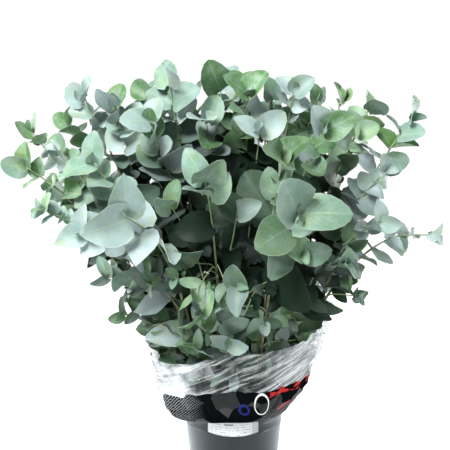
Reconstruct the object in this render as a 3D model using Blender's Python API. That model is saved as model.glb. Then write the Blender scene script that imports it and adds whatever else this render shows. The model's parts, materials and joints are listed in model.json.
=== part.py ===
# Silver eucalyptus branches, cut for the florist: a film sleeve holds the bunch, which stands
# in water in a plain black flower bucket.
# Metres, +Z up. The origin is the middle of the bucket's base, -Y is the bunch's front.
import math
import random

import bpy
from mathutils import Matrix, Vector
from mathutils.bvhtree import BVHTree

# Bucket, water and label.
BUCKET_HEIGHT = 0.262
BUCKET_BASE_RADIUS = 0.068
BUCKET_TOP_RADIUS = 0.093
BUCKET_WALL = 0.0022
BUCKET_FLOOR = 0.004
EDGE_ROUNDING = 0.0015
LIP_HEIGHT = 0.011
LIP_OUT = 0.0035
ROUND_SEGMENTS = 32
SMOOTH_UNDER = math.radians(35)
WATER_DEPTH = 0.075
HOLE_CLEAR = 0.0008
HOLE_CORNERS = 6
LABEL_TALL = 0.027
LABEL_THICK = 0.0006
LABEL_BELOW_LIP = 0.002
LABEL_FIRST_FACET = 21
LABEL_FACETS = 5

# Each stem's hole reaches past its foot, and up out of the water, by these shares of the
# stem's first step.
HOLE_BELOW = 0.05
HOLE_ABOVE = 0.5

# Stems. Their feet stand nearer the middle than the places where they cross the rim, by
# FOOT_SPREAD. A stem's curve leaves its start over LEAVE of its span and settles to its tip
# over ARRIVE of it. A side shoot keeps FOLLOW of its parent's heading as it leaves. One in the
# way of another branch is bowed by BOW_STEP more, and starts SLIDE_STEP lower, on each round
# of tries.
FOOT_SPREAD = 0.42
FOOT_LIFT = 0.0008
STEM_FOOT_RADIUS = 0.0042
STEM_TIP_RADIUS = 0.0011
SHOOT_TAPER = 0.62
MAIN_RINGS = 7
SHOOT_RINGS = 4
TWIST = math.radians(137.5)
LEAVE = 0.45
ARRIVE = 0.30
FOLLOW = 0.6
SHOOT_TRIES = 80
BOWS_PER_ROUND = 8
BOW_STEP = 0.006
SLIDE_STEP = 0.01
# Tips above this height turn up, and tips below it droop.
LEVEL_HEIGHT = 0.70
LIFT_PER_METRE = 4.0

# Leaves. Pairs stand PAIR_SPACING leaf lengths apart, and none sit low down or deep inside
# the crown, where nothing shows.
LEAF_THICK = 0.0007
LEAF_WIDTH_SHARE = 0.80
LEAF_ROOT = 0.5
MIDDLE_SHARE = 0.42
SHOOT_TIP_SHARE = 0.70
PAIR_SPACING = 1.76
FIRST_BELOW_TIP = 0.005
BARE_SHARE = 0.10
FULL_SIZE_AFTER = 0.16
YOUNG_STRETCH = 0.10
LOWEST_LEAF = 0.318
HIDDEN_REACH = 0.10
HIDDEN_HEIGHT = 0.60
# How far a leaf stands off its stem, in degrees, when old, and how much less when young. That
# angle is looser than the one round the stem, by SPREAD_LOOSER.
OLD_SPREAD = 72
YOUNG_LESS = 30
SPREAD_LOOSER = 2
# Random ranges: share of the length, share of the width, droop and upward fold.
LENGTHS = (0.90, 1.08)
WIDTHS = (0.88, 1.06)
ARCHES = (0.02, 0.20)
FOLDS = (0.05, 0.32)
# A leaf that meets another is tried again, each time looser by LOOSER and shorter by SHORTER.
TRIES = 14
LOOSE = 0.10
LOOSER = 0.04
SHORTER = 0.022
# Faces turn away from CROWN_AXIS, less across than along Y, with a random part and some up.
CROWN_AXIS = Vector((0.0, 0.07, 0.0))
ACROSS_SHARE = 0.25
FACE_RANDOM = 0.45
FACE_UP = 0.40
SHOWN_FACE = 0.75

# The film's waves round the sleeve, as (depth, waves in a turn, where they start), and those
# of the height of its open edge.
SLEEVE_THICK = 0.0008
SLEEVE_WAVES = [(0.005, 5, 0.8), (0.003, 9, 0.0)]
EDGE_WAVES = [(0.007, 4, 1.0)]
# Touching pieces keep SEAT between them, and leaves of different branches keep CLEAR.
SEAT = 0.0003
CLEAR = 0.0006
SEED = 11

# The film's inside from the hem up, as (radius, height) at the right, back, left and front.
HEM = BUCKET_TOP_RADIUS + LIP_OUT + SLEEVE_THICK + SEAT
SLEEVE_LEVELS = [
    [(HEM, 0.2590)] * 4,
    [(HEM, 0.2520)] * 4,
    [(0.106, 0.2500), (0.109, 0.2480), (0.123, 0.2380), (0.106, 0.2500)],
    [(0.127, 0.2820), (0.124, 0.2750), (0.140, 0.2620), (0.122, 0.2720)],
    [(0.150, 0.3300), (0.146, 0.3220), (0.151, 0.3080), (0.140, 0.3180)],
    [(0.180, 0.4330), (0.168, 0.4000), (0.167, 0.3560), (0.152, 0.3850)],
]

# Each branch: where it leaves the bucket (degrees round the rim, metres from the axis), the
# tip of its main stem, the length of its largest leaves, the share of that length which is
# left at the tip, and its side shoots as (share of the way up, tip, leaf length).
BRANCHES = {
    "branch_left_star": (232, 0.068, (-0.172, -0.235, 0.648), 0.089, 0.85, [
        (0.50, (-0.238, -0.130, 0.722), 0.077),
        (0.62, (-0.250, -0.175, 0.612), 0.072),
    ]),
    "branch_right_star": (300, 0.068, (0.100, -0.262, 0.660), 0.096, 0.85, [
        (0.45, (0.078, -0.190, 0.735), 0.084),
        (0.55, (0.112, -0.205, 0.582), 0.074),
    ]),
    "branch_front_star": (256, 0.068, (-0.048, -0.225, 0.708), 0.073, 0.74, [
        (0.52, (-0.105, -0.170, 0.655), 0.065),
        (0.60, (0.004, -0.180, 0.645), 0.067),
    ]),
    "branch_low_front": (276, 0.068, (0.004, -0.225, 0.532), 0.071, 0.74, [
        (0.46, (-0.055, -0.195, 0.480), 0.070),
        (0.70, (0.048, -0.205, 0.520), 0.042),
        (0.26, (-0.010, -0.165, 0.415), 0.065),
    ]),
    "branch_low_left": (208, 0.068, (-0.150, -0.165, 0.570), 0.071, 0.69, [
        (0.40, (-0.222, -0.085, 0.512), 0.056),
        (0.28, (-0.196, -0.075, 0.440), 0.049),
    ]),
    "branch_far_left": (184, 0.068, (-0.366, -0.030, 0.698), 0.060, 0.74, [
        (0.62, (-0.362, 0.020, 0.752), 0.054),
        (0.55, (-0.330, -0.085, 0.632), 0.044),
        (0.40, (-0.262, 0.070, 0.655), 0.062),
        (0.60, (-0.300, -0.060, 0.730), 0.052),
    ]),
    "branch_upper_left": (160, 0.068, (-0.266, 0.020, 0.814), 0.062, 0.75, [
        (0.66, (-0.210, -0.030, 0.806), 0.056),
        (0.60, (-0.300, 0.065, 0.764), 0.052),
    ]),
    "branch_tall_left": (200, 0.034, (-0.112, -0.050, 0.846), 0.071, 0.74, [
        (0.62, (-0.142, -0.120, 0.790), 0.063),
        (0.58, (-0.186, 0.000, 0.770), 0.060),
        (0.70, (-0.155, 0.030, 0.820), 0.060),
    ]),
    "branch_tall_middle": (100, 0.034, (-0.024, 0.030, 0.828), 0.078, 0.76, [
        (0.60, (-0.048, -0.085, 0.786), 0.067),
        (0.78, (0.014, 0.004, 0.842), 0.046),
        (0.68, (-0.074, 0.062, 0.812), 0.066),
    ]),
    "branch_tall_front": (290, 0.034, (0.024, -0.040, 0.826), 0.073, 0.76, [
        (0.62, (0.070, 0.040, 0.812), 0.060),
        (0.50, (0.042, -0.110, 0.770), 0.070),
    ]),
    "branch_tall_right": (12, 0.034, (0.104, 0.000, 0.826), 0.064, 0.64, [
        (0.68, (0.150, 0.040, 0.808), 0.049),
        (0.58, (0.150, -0.090, 0.770), 0.072),
    ]),
    "branch_upper_right": (30, 0.068, (0.244, 0.050, 0.790), 0.060, 0.72, [
        (0.70, (0.200, 0.105, 0.800), 0.054),
        (0.62, (0.214, -0.010, 0.752), 0.060),
    ]),
    "branch_far_right": (6, 0.068, (0.312, 0.000, 0.778), 0.055, 0.85, [
        (0.50, (0.262, -0.060, 0.696), 0.051),
    ]),
    "branch_low_right": (335, 0.068, (0.350, -0.020, 0.572), 0.055, 0.76, [
        (0.36, (0.214, -0.070, 0.474), 0.053),
        (0.52, (0.255, -0.080, 0.610), 0.058),
        (0.42, (0.186, -0.140, 0.552), 0.056),
    ]),
    "branch_back_left": (130, 0.068, (-0.162, 0.205, 0.750), 0.075, 0.76, [
        (0.45, (-0.245, 0.185, 0.610), 0.065),
        (0.30, (-0.150, 0.190, 0.470), 0.065),
    ]),
    "branch_back": (88, 0.068, (-0.006, 0.245, 0.772), 0.078, 0.76, [
        (0.55, (-0.070, 0.225, 0.650), 0.070),
        (0.36, (0.020, 0.215, 0.505), 0.070),
    ]),
    "branch_back_right": (54, 0.068, (0.150, 0.205, 0.742), 0.073, 0.74, [
        (0.48, (0.232, 0.170, 0.600), 0.065),
        (0.30, (0.165, 0.165, 0.462), 0.063),
    ]),
}
# Shoots open out from this point, low in the middle of the crown.
CROWN_HEART = Vector((0.0, 0.02, 0.44))

# A leaf's outline as (share of the length, share of the half width), from the stem out. Leaves
# over the first length get the first outline, and so on down.
FULL_OUTLINE_OVER = 0.070
OUTLINES = [
    (FULL_OUTLINE_OVER, [(0.15, 0.72), (0.43, 1.0), (0.76, 0.60)]),
    (0.030, [(0.23, 0.94), (0.63, 0.84)]),
    (0.000, [(0.42, 1.0)]),
]


def clear_scene():
    for old in list(bpy.data.objects):
        bpy.data.objects.remove(old, do_unlink=True)


def plain_material(name, colour, roughness, alpha=1.0):
    made = bpy.data.materials.new(name)
    made.use_nodes = True
    surface = made.node_tree.nodes["Principled BSDF"]
    surface.inputs["Base Color"].default_value = (*colour, 1.0)
    surface.inputs["Roughness"].default_value = roughness
    surface.inputs["Metallic"].default_value = 0.0
    surface.inputs["Alpha"].default_value = alpha
    return made


def new_object(name, points, faces, material=None):
    """A mesh object at the origin, from points and faces that are already in place."""
    mesh = bpy.data.meshes.new(name)
    mesh.from_pydata([tuple(p) for p in points], [], faces)
    mesh.update()
    if material:
        mesh.materials.append(material)
    made = bpy.data.objects.new(name, mesh)
    bpy.context.scene.collection.objects.link(made)
    return made


# Turned and draped shapes.
def ring_point(radius, height, segment, segments=ROUND_SEGMENTS):
    angle = 2 * math.pi * segment / segments
    return Vector((radius * math.cos(angle), radius * math.sin(angle), height))


def revolved(profile, segments=ROUND_SEGMENTS):
    """Points and faces of a solid turned about Z. The profile starts and ends on the axis."""
    points = [Vector((0, 0, profile[0][1])), Vector((0, 0, profile[-1][1]))]
    rings = profile[1:-1]
    for radius, height in rings:
        points += [ring_point(radius, height, s, segments) for s in range(segments)]
    faces = []
    for s in range(segments):
        ahead = (s + 1) % segments
        faces.append((0, 2 + ahead, 2 + s))
        last = 2 + (len(rings) - 1) * segments
        faces.append((1, last + s, last + ahead))
        for row in range(len(rings) - 1):
            low = 2 + row * segments
            high = low + segments
            faces.append((low + s, low + ahead, high + ahead, high + s))
    return points, faces


def wall_radius(height):
    """The bucket's outside radius at a height below the lip."""
    share = height / BUCKET_HEIGHT
    return BUCKET_BASE_RADIUS + (BUCKET_TOP_RADIUS - BUCKET_BASE_RADIUS) * share


def build_bucket():
    lip_under = BUCKET_HEIGHT - LIP_HEIGHT
    lip_radius = BUCKET_TOP_RADIUS + LIP_OUT
    rounding = EDGE_ROUNDING
    profile = [
        (0, 0),
        (BUCKET_BASE_RADIUS - rounding, 0),
        (wall_radius(rounding), rounding),
        (wall_radius(lip_under), lip_under),
        (lip_radius, lip_under),
        (lip_radius, BUCKET_HEIGHT - rounding),
        (lip_radius - rounding, BUCKET_HEIGHT),
        (BUCKET_TOP_RADIUS - BUCKET_WALL, BUCKET_HEIGHT),
        (wall_radius(BUCKET_FLOOR) - BUCKET_WALL, BUCKET_FLOOR),
        (0, BUCKET_FLOOR),
    ]
    black = plain_material("black_polypropylene", (0.035, 0.038, 0.040), 0.45)
    bucket = new_object("bucket", *revolved(profile), black)
    bucket.data.shade_smooth()
    bucket.data.set_sharp_from_angle(angle=SMOOTH_UNDER)
    return bucket


def build_label():
    """A paper sticker under the lip, bent round the flat facets of the wall."""
    top = BUCKET_HEIGHT - LIP_HEIGHT - LABEL_BELOW_LIP
    low = top - LABEL_TALL
    points = []
    for s in range(LABEL_FIRST_FACET, LABEL_FIRST_FACET + LABEL_FACETS + 1):
        for height in (low, top):
            inside = wall_radius(height) + SEAT
            points.append(ring_point(inside, height, s))
            points.append(ring_point(inside + LABEL_THICK, height, s))
    faces = [(0, 1, 3, 2)]
    for s in range(LABEL_FACETS):
        a = 4 * s
        b = a + 4
        faces += [(a + 1, b + 1, b + 3, a + 3), (a, a + 2, b + 2, b)]
        faces += [(a, b, b + 1, a + 1), (a + 2, a + 3, b + 3, b + 2)]
    end = 4 * LABEL_FACETS
    faces.append((end, end + 2, end + 3, end + 1))
    white = plain_material("white_paper", (0.82, 0.82, 0.80), 0.8)
    return new_object("label", points, faces, white)


def waves(rows, angle):
    return sum(depth * math.sin(count * angle + start) for depth, count, start in rows)


def sleeve_point(turn, level):
    """A point of the sleeve's inside: turn runs from 0 to 1 anticlockwise from +X."""
    angle = 2 * math.pi * turn
    east, north = math.cos(angle), math.sin(angle)
    shares = (max(0, east) ** 2, max(0, north) ** 2, max(0, -east) ** 2, max(0, -north) ** 2)
    spots = SLEEVE_LEVELS[level]
    radius = sum(share * spot[0] for share, spot in zip(shares, spots))
    height = sum(share * spot[1] for share, spot in zip(shares, spots))
    free = max(0, level - 1) / (len(SLEEVE_LEVELS) - 2)
    radius += free * waves(SLEEVE_WAVES, angle)
    height += free ** 2 * waves(EDGE_WAVES, angle)
    return Vector((radius * east, radius * north, height))


def build_sleeve():
    """The film as one thin wall. Its hem grips the bucket's lip, it sags over the lip's edge,
    and it is open at the top."""
    points = []
    for level in range(len(SLEEVE_LEVELS)):
        points += [sleeve_point(s / ROUND_SEGMENTS, level) for s in range(ROUND_SEGMENTS)]
    faces = []
    for row in range(len(SLEEVE_LEVELS) - 1):
        for s in range(ROUND_SEGMENTS):
            a = row * ROUND_SEGMENTS + s
            b = row * ROUND_SEGMENTS + (s + 1) % ROUND_SEGMENTS
            faces.append((a, b, b + ROUND_SEGMENTS, a + ROUND_SEGMENTS))
    film = plain_material("clear_film", (0.80, 0.84, 0.86), 0.2, alpha=0.45)
    sleeve = new_object("sleeve", points, faces, film)
    wall = sleeve.modifiers.new("film thickness", "SOLIDIFY")
    wall.thickness = SLEEVE_THICK
    wall.offset = 1.0
    return sleeve


# Stems.
def bezier(controls, t):
    a, b, c, d = controls
    s = 1 - t
    return a * s ** 3 + b * (3 * s * s * t) + c * (3 * s * t * t) + d * t ** 3


def along_curve(controls, count):
    return [bezier(controls, i / (count - 1)) for i in range(count)]


def taper(first, last, count):
    return [first + (last - first) * i / (count - 1) for i in range(count)]


def tree_of(points, faces):
    return BVHTree.FromPolygons([tuple(p) for p in points], faces)


class Stem:
    """A tapering square twig along a spine of points. Its pairs of leaves face its flats."""

    def __init__(self, name, spine, radii, number, leaf, tip_share):
        self.name = name
        self.spine = spine
        self.radii = radii
        self.leaf = leaf
        self.tip_share = tip_share
        self.steps = [(b - a).length for a, b in zip(spine, spine[1:])]
        ahead = self.ahead(0)
        side = Matrix.Rotation(number * TWIST, 3, ahead) @ ahead.orthogonal().normalized()
        self.sides = []
        for i in range(len(spine)):
            ahead = self.ahead(i)
            side = (side - ahead * side.dot(ahead)).normalized()
            self.sides.append(side)

    def ahead(self, i):
        """The way the spine runs through one of its points."""
        before, after = self.spine[max(i - 1, 0)], self.spine[min(i + 1, len(self.spine) - 1)]
        return (after - before).normalized()

    def length(self):
        return sum(self.steps)

    def at(self, along):
        """(point, heading, side, radius) at a length along the spine."""
        i = 0
        while i < len(self.steps) - 1 and along > self.steps[i]:
            along -= self.steps[i]
            i += 1
        share = along / self.steps[i]
        heading = (self.spine[i + 1] - self.spine[i]).normalized()
        side = self.sides[i].lerp(self.sides[i + 1], share)
        side = (side - heading * side.dot(heading)).normalized()
        radius = self.radii[i] + (self.radii[i + 1] - self.radii[i]) * share
        return self.spine[i].lerp(self.spine[i + 1], share), heading, side, radius

    def solid(self, wider=0.0, corners=4):
        """Points and faces of the stem, closed at both ends."""
        points = []
        for i, centre in enumerate(self.spine):
            side = self.sides[i]
            across = self.ahead(i).cross(side)
            for s in range(corners):
                angle = 2 * math.pi * (s + 0.5) / corners
                spoke = side * math.cos(angle) + across * math.sin(angle)
                points.append(centre + spoke * (self.radii[i] + wider))
        faces = [tuple(range(corners - 1, -1, -1))]
        for row in range(len(self.spine) - 1):
            for s in range(corners):
                a = row * corners + s
                b = row * corners + (s + 1) % corners
                faces.append((a, b, b + corners, a + corners))
        last = (len(self.spine) - 1) * corners
        faces.append(tuple(range(last, last + corners)))
        return points, faces


def outward(tip):
    """Which way a shoot points at its tip: away from the crown's heart. High tips point more
    upward than that, and low ones droop."""
    lift = (tip.z - LEVEL_HEIGHT) * LIFT_PER_METRE
    return ((tip - CROWN_HEART).normalized() + Vector((0, 0, lift))).normalized()


def main_stem(name, number):
    """A branch's main stem: straight up to the rim, and then it curves to its tip."""
    turn, reach, tip, leaf, tip_share, _ = BRANCHES[name]
    angle = math.radians(turn)
    tip = Vector(tip)
    waist = Vector((reach * math.cos(angle), reach * math.sin(angle), BUCKET_HEIGHT))
    foot = Vector((waist.x * FOOT_SPREAD, waist.y * FOOT_SPREAD, BUCKET_FLOOR + FOOT_LIFT))
    rising = (waist - foot).normalized()
    span = (tip - waist).length
    leaving = (rising + (tip - waist).normalized()).normalized()
    curve = (waist, waist + leaving * span * LEAVE, tip - outward(tip) * span * ARRIVE, tip)
    spine = [foot] + along_curve(curve, MAIN_RINGS)
    radii = taper(STEM_FOOT_RADIUS, STEM_TIP_RADIUS, len(spine))
    return Stem(name + "/main", spine, radii, number, leaf, tip_share)


def side_shoot(name, number, parent, obstacles):
    """A side shoot. It is bowed away from other branches in its way, a little further each
    time, and leaves its parent a little lower."""
    share, tip, leaf = BRANCHES[name][5][number]
    tip = Vector(tip)
    own = [parent.name] + [f"{name}/{earlier}" for earlier in range(number)]
    for attempt in range(SHOOT_TRIES):
        round_number = math.ceil(attempt / BOWS_PER_ROUND)
        along = (share - SLIDE_STEP * round_number) * parent.length()
        start, heading, _, thick = parent.at(along)
        radii = taper(thick * SHOOT_TAPER, STEM_TIP_RADIUS, SHOOT_RINGS)
        span = (tip - start).length
        aim = (tip - start).normalized()
        leaving = (aim + heading * FOLLOW).normalized()
        turn = Matrix.Rotation(2 * math.pi * attempt / BOWS_PER_ROUND, 3, aim)
        bow = turn @ aim.orthogonal().normalized() * BOW_STEP * round_number
        curve = (start, start + leaving * span * LEAVE + bow,
                 tip - outward(tip) * span * ARRIVE + bow / 2, tip)
        spine = along_curve(curve, SHOOT_RINGS)
        shoot = Stem(f"{name}/{number}", spine, radii, number, leaf, SHOOT_TIP_SHARE)
        if not obstacles.meets(*shoot.solid(wider=2 * CLEAR), skip=own):
            return shoot
    raise RuntimeError(f"{name} shoot {number} has no clear way")


# Leaves.
def leaf_solid(stem, length, width, arch, fold, thick):
    """A leaf blade with flat facets, closed all round. X runs from base to tip, Y across it,
    Z out of the upper face. Both faces are split alike, as a fan about the middle of a large
    blade or about the tip of a small one. It starts from a point inside the stem, whose
    radius is stem."""
    outline = next(rows for least, rows in OUTLINES if length > least)

    def at(share, half):
        y = half * width / 2
        return Vector((share * length, y, fold * abs(y) - arch * length * share * share))

    root = LEAF_ROOT * stem / length
    rim = [at(1.0, 0.0)] + [at(share, half) for share, half in reversed(outline)]
    rim += [at(root, 0.0)] + [at(share, -half) for share, half in outline]
    if length > FULL_OUTLINE_OVER:
        spots = rim + [at(MIDDLE_SHARE, 0.0)]
        hub = len(rim)
        fan = range(len(rim))
    else:
        spots = rim
        hub = 0
        fan = range(1, len(rim) - 1)
    up = Vector((0, 0, thick / 2))
    points = [p + up for p in spots] + [p - up for p in spots]
    under = len(spots)
    faces = []
    for a in fan:
        b = (a + 1) % len(rim)
        faces += [(hub, a, b), (under + hub, under + b, under + a)]
    for a in range(len(rim)):
        b = (a + 1) % len(rim)
        faces.append((b, a, under + a, under + b))
    return points, faces


def leaf_frame(base, out, facing):
    """The matrix that sets a leaf on its stem. The leaf runs along out, and its upper face
    turns as near to facing as it can."""
    normal = (facing - out * out.dot(facing)).normalized()
    turned = Matrix((out, normal.cross(out), normal)).transposed().to_4x4()
    return Matrix.Translation(base) @ turned


class Obstacles:
    """Everything already placed, as (name, middle, reach, tree), to keep new leaves clear."""

    def __init__(self):
        self.kept = []

    def add(self, name, points, faces):
        middle = sum(points, Vector()) / len(points)
        reach = max((p - middle).length for p in points)
        self.kept.append((name, middle, reach, tree_of(points, faces)))

    def meets(self, points, faces, skip=()):
        middle = sum(points, Vector()) / len(points)
        reach = max((p - middle).length for p in points)
        tree = None
        for name, other, other_reach, other_tree in self.kept:
            if name in skip or (other - middle).length > reach + other_reach:
                continue
            tree = tree or tree_of(points, faces)
            if tree.overlap(other_tree):
                return True
        return False


def leafy_places(stem):
    """Where a stem's leaf pairs sit, from its tip down, as (length along, leaf length, angle
    round the stem). Each pair stands square to the next."""
    whole = stem.length()
    places = []
    along = whole - FIRST_BELOW_TIP
    turn = 0.0
    while along > BARE_SHARE * whole:
        old = min(1.0, (whole - along) / FULL_SIZE_AFTER)
        size = stem.leaf * (stem.tip_share + (1 - stem.tip_share) * old)
        spot = stem.at(along)[0]
        hidden = math.hypot(spot.x, spot.y) < HIDDEN_REACH and spot.z < HIDDEN_HEIGHT
        if spot.z > LOWEST_LEAF and not hidden:
            places.append((along, size, turn))
        turn = math.pi / 2 - turn
        along -= size * PAIR_SPACING
    return places


def place_leaves(stem, obstacles, draw):
    """Tries each leaf at a few angles and keeps the first that crosses nothing. Returns the
    kept leaves as solids in their places."""
    kept = []
    for along, size, turn in leafy_places(stem):
        base, forward, side, radius = stem.at(along)
        young = max(0.0, 1 - (stem.length() - along) / YOUNG_STRETCH)
        away = base - CROWN_AXIS
        away = Vector((away.x * ACROSS_SHARE, away.y, 0)).normalized()
        pair = []
        for half_turn in (0.0, math.pi):
            for attempt in range(TRIES):
                loose = LOOSE + LOOSER * attempt
                about = turn + half_turn + draw.uniform(-loose, loose)
                spread = math.radians(OLD_SPREAD - YOUNG_LESS * young)
                spread += SPREAD_LOOSER * draw.uniform(-loose, loose)
                length = size * draw.uniform(*LENGTHS) * (1 - SHORTER * attempt)
                width = length * LEAF_WIDTH_SHARE * draw.uniform(*WIDTHS)
                arch = draw.uniform(*ARCHES)
                fold = draw.uniform(*FOLDS)
                facing = away + Vector([draw.uniform(-FACE_RANDOM, FACE_RANDOM) for _ in "xyz"])
                facing = (facing + Vector((0, 0, FACE_UP))).normalized()
                toward = Matrix.Rotation(about, 3, forward) @ side
                out = forward * math.cos(spread) + toward * math.sin(spread)
                out = (out - facing * out.dot(facing) * SHOWN_FACE * (1 - young)).normalized()
                frame = leaf_frame(base, out, facing)
                room = 2 * CLEAR
                grown = leaf_solid(radius, length + room, width + room, arch, fold,
                                   LEAF_THICK + room)
                if not obstacles.meets([frame @ p for p in grown[0]], grown[1], (stem.name,)):
                    points, faces = leaf_solid(radius, length, width, arch, fold, LEAF_THICK)
                    pair.append(([frame @ p for p in points], faces))
                    break
        # The two leaves of a pair share a root, so neither is in the other's way.
        for solid in pair:
            obstacles.add(stem.name + "/leaf", *solid)
        kept += pair
    return kept


def fused(name, solids, material):
    """Joins a branch's stems and leaves into one body."""
    pieces = bpy.data.collections.new(name + " pieces")
    bpy.context.scene.collection.children.link(pieces)
    whole = new_object(name, *solids[0], material)
    for points, faces in solids[1:]:
        piece = new_object(name + "_piece", points, faces)
        bpy.context.scene.collection.objects.unlink(piece)
        pieces.objects.link(piece)
    join = whole.modifiers.new("join", "BOOLEAN")
    join.operation = "UNION"
    join.operand_type = "COLLECTION"
    join.collection = pieces
    join.solver = "MANIFOLD"
    graph = bpy.context.evaluated_depsgraph_get()
    joined = bpy.data.meshes.new_from_object(whole.evaluated_get(graph))
    whole.modifiers.remove(join)
    whole.data = joined
    for piece in list(pieces.objects):
        bpy.data.objects.remove(piece, do_unlink=True)
    bpy.data.collections.remove(pieces)
    joined.materials.clear()
    joined.materials.append(material)
    return whole


def build_water(mains):
    """The water in the bucket, with a plain hole where each stem stands in it."""
    top = BUCKET_FLOOR + WATER_DEPTH
    low = BUCKET_FLOOR + SEAT
    inside = BUCKET_WALL + SEAT
    edges = [(wall_radius(height) - inside, height) for height in (low, top)]
    profile = [(0, low)] + edges + [(0, top)]
    clear = plain_material("water", (0.62, 0.74, 0.72), 0.05, alpha=0.4)
    water = new_object("water", *revolved(profile), clear)
    for number, stem in enumerate(mains):
        foot, waist = stem.spine[:2]
        ends = [foot + (foot - waist) * HOLE_BELOW, foot + (waist - foot) * HOLE_ABOVE]
        wide = Stem("hole", ends, [STEM_FOOT_RADIUS + HOLE_CLEAR] * 2, number, 0, 0)
        hole = new_object("stem_hole", *wide.solid(corners=HOLE_CORNERS))
        hole.hide_render = True
        hole.display_type = "WIRE"
        cut = water.modifiers.new("stem hole", "BOOLEAN")
        cut.operation = "DIFFERENCE"
        cut.object = hole
        cut.solver = "EXACT"
    return water


def seen_as_obstacle(piece, obstacles):
    """Adds a finished object, with its modifiers, to what leaves keep clear of."""
    graph = bpy.context.evaluated_depsgraph_get()
    mesh = bpy.data.meshes.new_from_object(piece.evaluated_get(graph))
    points = [v.co.copy() for v in mesh.vertices]
    obstacles.add(piece.name, points, [tuple(p.vertices) for p in mesh.polygons])
    bpy.data.meshes.remove(mesh)


def build():
    clear_scene()
    obstacles = Obstacles()
    seen_as_obstacle(build_bucket(), obstacles)
    seen_as_obstacle(build_sleeve(), obstacles)
    build_label()
    branches = {name: [main_stem(name, i)] for i, name in enumerate(BRANCHES)}
    for stems in branches.values():
        obstacles.add(stems[0].name, *stems[0].solid())
    build_water([stems[0] for stems in branches.values()])
    for name, stems in branches.items():
        for number in range(len(BRANCHES[name][5])):
            shoot = side_shoot(name, number, stems[0], obstacles)
            stems.append(shoot)
            obstacles.add(shoot.name, *shoot.solid())
    leaf_green = plain_material("eucalyptus_leaf", (0.30, 0.42, 0.36), 0.65)
    for name, stems in branches.items():
        draw = random.Random(f"{SEED} {name}")
        solids = [stem.solid() for stem in stems]
        for stem in stems:
            solids += place_leaves(stem, obstacles, draw)
        fused(name, solids, leaf_green)


build()
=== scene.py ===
# %% [markdown]
# A florist's bunch of silver eucalyptus stands in a black flower bucket, held by a film
# sleeve. The construction is already done: it is loaded here as a fixed frame, and this
# notebook gives every piece its finer shape and its finish. All sizes are metres.

# %% Load the packed model
import json
import math
import random

import bpy
from mathutils import Matrix, Vector, noise
from mathutils.bvhtree import BVHTree

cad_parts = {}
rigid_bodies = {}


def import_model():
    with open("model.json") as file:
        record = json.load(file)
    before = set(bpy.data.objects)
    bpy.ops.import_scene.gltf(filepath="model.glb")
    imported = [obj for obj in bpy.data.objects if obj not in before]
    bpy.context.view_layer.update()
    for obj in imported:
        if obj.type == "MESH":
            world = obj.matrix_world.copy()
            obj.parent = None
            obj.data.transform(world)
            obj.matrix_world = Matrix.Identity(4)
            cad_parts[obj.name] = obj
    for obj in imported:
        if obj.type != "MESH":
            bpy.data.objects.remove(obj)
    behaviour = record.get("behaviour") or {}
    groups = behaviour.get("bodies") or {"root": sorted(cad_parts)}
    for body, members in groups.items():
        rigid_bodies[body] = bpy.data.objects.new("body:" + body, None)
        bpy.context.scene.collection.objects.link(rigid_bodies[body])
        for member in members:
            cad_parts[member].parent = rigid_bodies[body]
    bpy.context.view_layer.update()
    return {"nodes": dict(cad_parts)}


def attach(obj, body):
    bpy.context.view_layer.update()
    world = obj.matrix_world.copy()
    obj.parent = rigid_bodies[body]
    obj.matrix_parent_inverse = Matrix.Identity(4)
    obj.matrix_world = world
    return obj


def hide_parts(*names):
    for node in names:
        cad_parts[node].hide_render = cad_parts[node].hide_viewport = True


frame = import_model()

print("nodes:", len(frame["nodes"]))

# %% [markdown]
# Colours are written as sRGB hex values, because that is how a swatch is read off a screen.
# Blender's shaders work in linear light, so one function converts them. A second one adds a
# shader node with its settings and links, which keeps each material short enough to read.

# %% Colour and node helpers
def paint(code):
    """A hex colour such as #A7BFB4 as linear RGB with full alpha."""
    channels = [int(code[i:i + 2], 16) / 255 for i in (1, 3, 5)]
    linear = [c / 12.92 if c <= 0.04045 else ((c + 0.055) / 1.055) ** 2.4 for c in channels]
    return (*linear, 1.0)


def add_node(material, kind, inputs=None, **settings):
    """Adds a shader node. Each input gets a value, or the output socket of another node."""
    tree = material.node_tree
    node = tree.nodes.new("ShaderNode" + kind)
    for name, value in settings.items():
        setattr(node, name, value)
    for key, value in (inputs or {}).items():
        if isinstance(value, bpy.types.NodeSocket):
            tree.links.new(value, node.inputs[key])
        else:
            node.inputs[key].default_value = value
    return node


def new_finish(name):
    """A material with an empty node tree."""
    material = bpy.data.materials.new(name)
    material.use_nodes = True
    material.node_tree.nodes.clear()
    return material


print("mid grey in linear light:", round(paint("#808080")[0], 3))

# %% [markdown]
# Every operator acts on what is selected, so the helpers below clear the selection first, and
# then open, pick from and close one piece. A finished piece rides on the part's one body, and
# the nodes of the frame that it stands for are hidden.

# %% Mesh helpers
def deselect_all():
    """Leaves nothing selected in the scene."""
    for each in bpy.context.view_layer.objects:
        each.select_set(False)


def edit(piece):
    """Opens a piece in edit mode with nothing selected."""
    deselect_all()
    piece.select_set(True)
    bpy.context.view_layer.objects.active = piece
    bpy.ops.object.mode_set(mode="EDIT")
    bpy.ops.mesh.select_all(action="DESELECT")


def pick(piece, wanted):
    """In edit mode, selects just the vertices whose place passes the test."""
    bpy.ops.mesh.select_all(action="DESELECT")
    bpy.ops.object.mode_set(mode="OBJECT")
    for vertex in piece.data.vertices:
        vertex.select = wanted(vertex.co)
    bpy.ops.object.mode_set(mode="EDIT")


def close_edit():
    """Back to object mode."""
    bpy.ops.object.mode_set(mode="OBJECT")


def apply_place(piece):
    """Moves a piece's place and turn into its mesh, so its object sits at the origin."""
    deselect_all()
    piece.select_set(True)
    bpy.context.view_layer.objects.active = piece
    bpy.ops.object.transform_apply(location=True, rotation=True, scale=True)


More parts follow.
